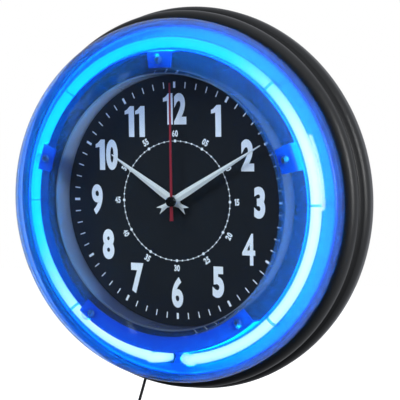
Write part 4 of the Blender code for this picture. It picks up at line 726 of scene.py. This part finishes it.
# ------------------------------------------------------------------ dial ring and glass
# A moulded hoop of clear acrylic stands round the dial and carries a flat float-glass pane under
# the lens's foot. The tube's light gets into the hoop and its wall shows blue.
clear_hoop = clear_sheet("moulded_clear_acrylic", "#f2f8ff", "#b0cef6", 0.05, 0.32, "#e2eaf8")
low, high = clock_box("dial_ring")
hoop = high.x
bore = dial_high.x + FIT_GAP
profile = [(hoop, high.z), (hoop, low.z), (bore, low.z), (bore, high.z)]
hung("dial_hoop", spun(profile, corner_round=0.0003), "root", clear_hoop,
     ["dial_ring"], smooth=12.0)
float_glass = clear_sheet("float_glass", "#fdfeff", "#dfeff0", 0.01, 0.002, lowest=0.015)
low, high = clock_box("dial_glass")
profile = [(0.0, high.z), (high.x, high.z), (high.x, low.z), (0.0, low.z)]
hung("dial_pane", spun(profile, corners=[1, 2], corner_round=0.0004, segments=180), "root",
     float_glass, ["dial_glass"], smooth=12.0)

# ------------------------------------------------------------------ dial
# The dial is black card with a satin screen-printed face: hour numerals, a minute track at the
# rim and a seconds track half way in. The ink is a cool white and stands a hair off the card.
printed_card = moulded("satin_printed_card", "#191c22", "#1f2228", 0.50, 0.0012, 0.12)
white_ink = moulded("screen_printed_ink", "#eceef6", "#f6f7fb", 0.5, 0.0008, 0.10)
low, high = clock_box("dial_plate")
INK = 0.00008
DIAL_TOP = high.z
profile = [(high.x, low.z), (0.0043, low.z), (0.0043, high.z), (high.x, high.z)]
hung("dial_card", spun(profile, corners=[0, 3], corner_round=0.0002), "root",
     printed_card, ["dial_plate"], smooth=12.0)

track = bmesh.new()
for minute in range(60):
    bold = minute % 5 == 0
    width = 0.0023 if bold else 0.0010
    bar = bmesh.ops.create_cube(track, size=1.0)["verts"]
    bmesh.ops.scale(track, verts=bar, vec=(width, 0.0060, INK))
    bmesh.ops.translate(track, verts=bar, vec=(0.0, MINUTE_CIRCLE, DIAL_TOP + INK / 2))
    bmesh.ops.rotate(track, verts=bar, cent=(0.0, 0.0, 0.0),
                     matrix=Matrix.Rotation(-radians(6.0 * minute), 3, "Z"))
hung("minute_track", track, "root", white_ink)

SECONDS_CIRCLE = 0.0587
track = spun([(SECONDS_CIRCLE + 0.0002, DIAL_TOP), (SECONDS_CIRCLE + 0.0002, DIAL_TOP + INK * 0.8),
              (SECONDS_CIRCLE - 0.0002, DIAL_TOP + INK * 0.8), (SECONDS_CIRCLE - 0.0002, DIAL_TOP)],
             segments=180)
for second in range(60):
    dot = 0.0015 if second % 5 == 0 else 0.0009
    drum(track, dot, DIAL_TOP, DIAL_TOP + INK, clock_place(SECONDS_CIRCLE, 6.0 * second), 16)
hung("seconds_track", track, "root", white_ink)


def digit_outline(digit, height, condense, weight):
    """A digit as a flat mesh, its lower left corner on the origin, and its width."""
    flat = bmesh.new()
    if digit == "1":
        stem, flag = 0.20 * height, 0.15 * height
        corners = [(flag, 0.0), (flag + stem, 0.0), (flag + stem, height),
                   (flag + 0.25 * stem, height), (flag * 0.55, 0.885 * height),
                   (0.0, 0.845 * height), (0.0, 0.73 * height), (flag, 0.76 * height)]
        flat.faces.new([flat.verts.new((x, y, 0.0)) for x, y in corners])
        return flat, flag + stem
    letters = bpy.data.curves.new("digit", "FONT")
    letters.body = digit
    letters.size = 1.0
    letters.offset = weight * {"4": 0.3, "6": 0.7, "9": 0.7}.get(digit, 1.0)
    letters.resolution_u = 5
    source = bpy.data.objects.new("digit", letters)
    bpy.context.scene.collection.objects.link(source)
    bpy.context.view_layer.update()
    letter = source.evaluated_get(bpy.context.evaluated_depsgraph_get())
    drawn = bpy.data.meshes.new_from_object(letter)
    flat.from_mesh(drawn)
    bpy.data.objects.remove(source, do_unlink=True)
    bpy.data.curves.remove(letters)
    bpy.data.meshes.remove(drawn)
    bmesh.ops.remove_doubles(flat, verts=flat.verts, dist=0.0001)
    left = min(v.co.x for v in flat.verts)
    foot = min(v.co.y for v in flat.verts)
    scale = height / (max(v.co.y for v in flat.verts) - foot)
    bmesh.ops.translate(flat, verts=flat.verts, vec=(-left, -foot, 0.0))
    bmesh.ops.scale(flat, verts=flat.verts, vec=(scale * condense, scale, 1.0))
    return flat, max(v.co.x for v in flat.verts)


def numeral(work, text, height, condense, weight, at, turned=0.0):
    """Add a numeral in raised ink, its middle on a point of the dial."""
    row = bmesh.new()
    gap = 0.045 * height
    pen = 0.0
    for digit in text:
        flat, width = digit_outline(digit, height, condense, weight)
        bmesh.ops.translate(flat, verts=flat.verts, vec=(pen, 0.0, 0.0))
        pen += width + gap
        carrier = bpy.data.meshes.new("digit")
        flat.to_mesh(carrier)
        flat.free()
        row.from_mesh(carrier)
        bpy.data.meshes.remove(carrier)
    raised = bmesh.ops.extrude_face_region(row, geom=row.faces[:])["geom"]
    bmesh.ops.translate(row, verts=[v for v in raised if isinstance(v, bmesh.types.BMVert)],
                        vec=(0.0, 0.0, INK))
    bmesh.ops.recalc_face_normals(row, faces=row.faces)
    bmesh.ops.translate(row, verts=row.verts, vec=((gap - pen) / 2, -height / 2, 0.0))
    bmesh.ops.rotate(row, verts=row.verts, cent=(0.0, 0.0, 0.0),
                     matrix=Matrix.Rotation(radians(turned), 3, "Z"))
    bmesh.ops.translate(row, verts=row.verts, vec=(at[0], at[1], DIAL_TOP))
    carrier = bpy.data.meshes.new("numeral")
    row.to_mesh(carrier)
    row.free()
    work.from_mesh(carrier)
    bpy.data.meshes.remove(carrier)


numerals = bmesh.new()
for hour in range(1, 13):
    numeral(numerals, str(hour), 0.0305, 0.66, 0.050, clock_place(0.0900, 30.0 * hour))
hung("hour_numerals", numerals, "root", white_ink, smooth=12.0)
numerals = bmesh.new()
for five in range(1, 13):
    angle = 30.0 * five
    tilt = 0.0 if five in (3, 9) else -angle if five < 3 or five > 9 else 180.0 - angle
    numeral(numerals, "%02d" % (5 * five), 0.0064, 0.74, 0.045, clock_place(0.0660, angle), tilt)
hung("seconds_numerals", numerals, "root", white_ink, smooth=12.0)


# ------------------------------------------------------------------ hands
# The hour and minute hands are dauphine blades pressed from bright aluminium, with a ridge down
# the middle so that one half is light when the other is dark. The seconds hand is a red-lacquered
# needle pushed on the arbor, with a black domed cap.
def dauphine(length, tail, width, hub, bore, base, ridge):
    """Half of a ridged blade with a forked tail, mirrored and given its thickness."""
    work = bmesh.new()
    half = width / 2
    shoulder = 0.18 * length
    notch = 0.72 * tail
    flat = 0.00035
    tip = [work.verts.new(p) for p in (
        (0.0005, length, 0.0), (0.0, length, flat), (0.0, shoulder, ridge), (half, shoulder, 0.0),
        (half, hub, 0.0), (0.0, hub, ridge))]
    work.faces.new((tip[0], tip[1], tip[2], tip[3]))
    work.faces.new((tip[3], tip[2], tip[5], tip[4]))
    low = [work.verts.new(p) for p in (
        (0.0, -hub, ridge), (hub, 0.0, 0.0), (0.45 * half + 0.0006, -0.45 * tail, 0.0),
        (half, -tail, 0.0), (0.0, -notch, ridge * 0.6))]
    work.faces.new((tip[4], tip[5], low[0], low[1]))
    work.faces.new((low[1], low[0], low[4], low[2]))
    work.faces.new((low[2], low[4], low[3]))
    bmesh.ops.mirror(work, geom=work.verts[:] + work.edges[:] + work.faces[:],
                     matrix=Matrix.Identity(4), merge_dist=0.000001, axis="X")
    bmesh.ops.recalc_face_normals(work, faces=work.faces)
    if sum(f.normal.z for f in work.faces) < 0:
        bmesh.ops.reverse_faces(work, faces=work.faces)
    front = set(bmesh.ops.extrude_face_region(work, geom=work.faces[:])["geom"])
    for vert in work.verts:
        vert.co.z = vert.co.z + flat if vert in front else 0.0
    bmesh.ops.recalc_face_normals(work, faces=work.faces)
    bmesh.ops.translate(work, verts=work.verts, vec=(0.0, 0.0, base))
    bore_tool = bmesh.new()
    drum(bore_tool, bore, base - 0.001, base + 0.003, (0.0, 0.0), 32)
    return worked(work, [("DIFFERENCE", bore_tool)])


def turned_to(work, angle):
    """The same bmesh, turned clockwise from twelve by an angle in degrees."""
    bmesh.ops.rotate(work, verts=work.verts, cent=(0.0, 0.0, 0.0),
                     matrix=Matrix.Rotation(-radians(angle), 3, "Z"))
    return work


bright_aluminium = plated("frosted_aluminium", "#eceef2", "#fbfcfe", 0.38, 0.0006, metal=0.30)
hour_base = clock_box("hour_hand")[0].z
minute_base = clock_box("minute_hand")[0].z
second_base = clock_box("second_hand")[0].z
HOUR_POINTS_TO = 303.0
MINUTE_POINTS_TO = 60.0
BLADE_RIDGE = 0.0009
hour_blade = dauphine(0.0830, 0.0170, 0.0080, 0.0052, 0.00275, hour_base, BLADE_RIDGE)
hung("hour_blade", turned_to(hour_blade, HOUR_POINTS_TO), "hour", bright_aluminium,
     ["hour_hand"], smooth=5.0)
minute_blade = dauphine(0.1090, 0.0190, 0.0075, 0.0045, 0.00175, minute_base, BLADE_RIDGE)
hung("minute_blade", turned_to(minute_blade, MINUTE_POINTS_TO), "minute",
     bright_aluminium, ["minute_hand"], smooth=5.0)

red_lacquer = moulded("red_lacquer", "#8a2432", "#9c2c3c", 0.35, 0.002, 0.05, **{"Coat Weight": 0.5})
cap_black = moulded("gloss_black_cap", "#0c0c0d", "#131315", 0.2, 0.003, 0.05)
needle = extruded([[(-0.0009, 0.1150), (-0.0014, 0.0), (-0.0020, -0.0190), (0.0020, -0.0190),
                    (0.0014, 0.0), (0.0009, 0.1150)]], second_base, second_base + 0.0007)
bmesh.ops.bevel(needle, geom=[e for e in needle.edges if len(e.link_faces) == 2
                              and e.calc_face_angle() > 1.0], offset=0.00015, segments=2,
                affect="EDGES", profile=0.5, material=-1)
hung("seconds_needle", needle, "seconds", red_lacquer, ["second_hand"])
cap = spun([(0.0, second_base + 0.0026), (0.0007, second_base + 0.0026), (0.0007, second_base),
            (0.0050, second_base), (0.0049, second_base + 0.0028), (0.0045, second_base + 0.0040),
            (0.0034, second_base + 0.0045), (0.0, second_base + 0.0045)], segments=48)
hung("seconds_cap", cap, "seconds", cap_black)

# ------------------------------------------------------------------ fixing nut
# A brass hexagon nut holds the movement's bush through the dial. It is turned from bar, so its
# corners are chamfered, with fine turning marks on its face.
turned_brass = plated("turned_brass", "#b08a3c", "#d9b866", 0.25, 0.0004)
low, high = clock_box("fixing_nut")
work = bmesh.new()
drum(work, 0.00693, low.z, high.z, (0.0, 0.0), 6)
bmesh.ops.bevel(work, geom=[e for e in work.edges if abs(e.verts[0].co.z - e.verts[1].co.z) < 0.0001
                            and e.verts[0].co.z > low.z + 0.001], offset=0.0004, segments=2,
                affect="EDGES", profile=0.5, material=-1)
bore_tool = bmesh.new()
drum(bore_tool, 0.00415, low.z - 0.001, high.z + 0.001, (0.0, 0.0), 48)
hung("hexagon_nut", worked(work, [("DIFFERENCE", bore_tool)]), "root", turned_brass,
     ["fixing_nut"])

# ------------------------------------------------------------------ back cover and its screws
# The cover is a flat moulded disc in a recess of the case, open in the middle so that the cell
# can be changed. Three countersunk screws hold it.
low, high = clock_box("back_cover")
cover = extruded([arc((0.0, 0.0), high.x, 0, 357.5, 143),
                  [(-0.031, -0.031), (0.031, -0.031), (0.031, 0.031), (-0.031, 0.031)]], low.z, high.z)
sinks = bmesh.new()
cones = bmesh.new()
for spot in COVER_SCREW_SPOTS:
    drum(sinks, COVER_SCREW_HOLE, low.z - 0.001, high.z + 0.001, spot, 32)
    drum(cones, 0.0038, low.z - 0.0005, low.z + 0.0018, spot, 32, 0.0018)
cover = worked(cover, [("DIFFERENCE", sinks), ("DIFFERENCE", cones)])
hung("rear_cover", cover, "root", satin_abs, ["back_cover"])
countersunk_outline = [(0.0, low.z), (0.0030, low.z), (0.0015, low.z + 0.0015),
                       (0.0014, low.z + 0.0070), (0.0, low.z + 0.0075)]
for i, spot in enumerate(COVER_SCREW_SPOTS):
    work = spun(countersunk_outline, segments=32)
    bmesh.ops.translate(work, verts=work.verts, vec=spot)
    work = worked(work, cross_recess(low.z - 0.0010, low.z + 0.0009, 0.0017, 0.0008, spot, False))
    number = str(i + 1)
    hung("countersunk_screw_" + number, work, "root", zinc_plate,
         ["cover_screw_" + number])

# ------------------------------------------------------------------ hanging plate
# A zinc-plated steel plate behind the case's slot takes the hook. It is blanked with the keyhole
# in one stroke, which rounds its front edges; here its edges are left square.
low, high = clock_box("hanger_plate")
plate = extruded([[(low.x, low.y), (high.x, low.y), (high.x, high.y), (low.x, high.y)],
                  keyhole(0.0050, 0.0050, SEAT_RISE, SEAT_RISE - ENTRY_DROP)], low.z, high.z)
hung("keyhole_plate", plate, "root", zinc_plate, ["hanger_plate"])

# ------------------------------------------------------------------ strain relief
# The strain relief is soft PVC moulded on the lead: a flange inside the case wall and a ribbed
# taper that lets the lead flex.
profile = [(0.0, 0.1800), (0.0042, 0.1800), (0.0042, 0.1820), (0.0034, 0.1820), (0.0033, 0.1845),
           (0.0028, 0.1850), (0.0028, 0.1858), (0.0031, 0.1862), (0.0029, 0.1872), (0.0025, 0.1876),
           (0.0025, 0.1884), (0.0026, 0.1888), (0.0024, 0.1895), (0.0, 0.1895)]
work = spun(profile, segments=40)
bmesh.ops.transform(work, matrix=GLAND_WAY, verts=work.verts)
relief = hung("flex_relief", work, "root", soft_pvc, ["strain_relief"])

# ------------------------------------------------------------------ panel, movement and wiring
# The movement and its train, the panel it hangs on, the tube's driver and their leads keep
# their CAD shapes. Each gets the finish of what it is made of.
hardboard = moulded("pressed_hardboard", "#3a2c1f", "#54412e", 0.85, 0.0010, 0.4)
acetal = moulded("natural_acetal", "#cfcbbb", "#dedbcd", 0.4, 0.0015, 0.1)
copper = plated("enamelled_copper", "#8a4423", "#b8643a", 0.3, 0.0003, (6.0, 0.3, 1.0))
ferrite = moulded("moulded_ferrite", "#3a3a3c", "#4a4a4d", 0.5, 0.0006, 0.3)
solder_resist = moulded("solder_resist", "#0f4a22", "#17622e", 0.35, 0.0020, 0.2)
cell_sleeve = moulded("shrunk_cell_sleeve", "#232327", "#2e2e33", 0.25, 0.0030, 0.1)
red_silicone = moulded("red_silicone", "#8c1812", "#a82218", 0.5, 0.0015, 0.2)
blade_nickel = plated("nickel_plated_brass", "#a9a59a", "#cfcabd", 0.22, 0.0006)
carried = {
    hardboard: ["mounting_panel"],
    satin_abs: ["movement_case", "movement_cover", "tube_driver"],
    boot_rubber: ["washer"],
    acetal: ["train_plate", "hour_wheel", "motion_wheel", "setting_knob", "second_wheel",
             "third_wheel", "intermediate_wheel"],
    turned_brass: ["minute_arbor", "centre_wheel"],
    zinc_plate: ["stator", "contact_positive", "contact_negative"],
    copper: ["motor_coil"],
    ferrite: ["rotor"],
    solder_resist: ["circuit_board"],
    cell_sleeve: ["battery"],
    red_silicone: ["ht_lead_left", "ht_lead_right"],
    soft_pvc: ["inner_lead"],
    blade_nickel: ["adapter_blade_left", "adapter_blade_right"],
}
for material, names in carried.items():
    for name in names:
        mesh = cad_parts[name].data
        mesh.materials.clear()
        mesh.materials.append(material)
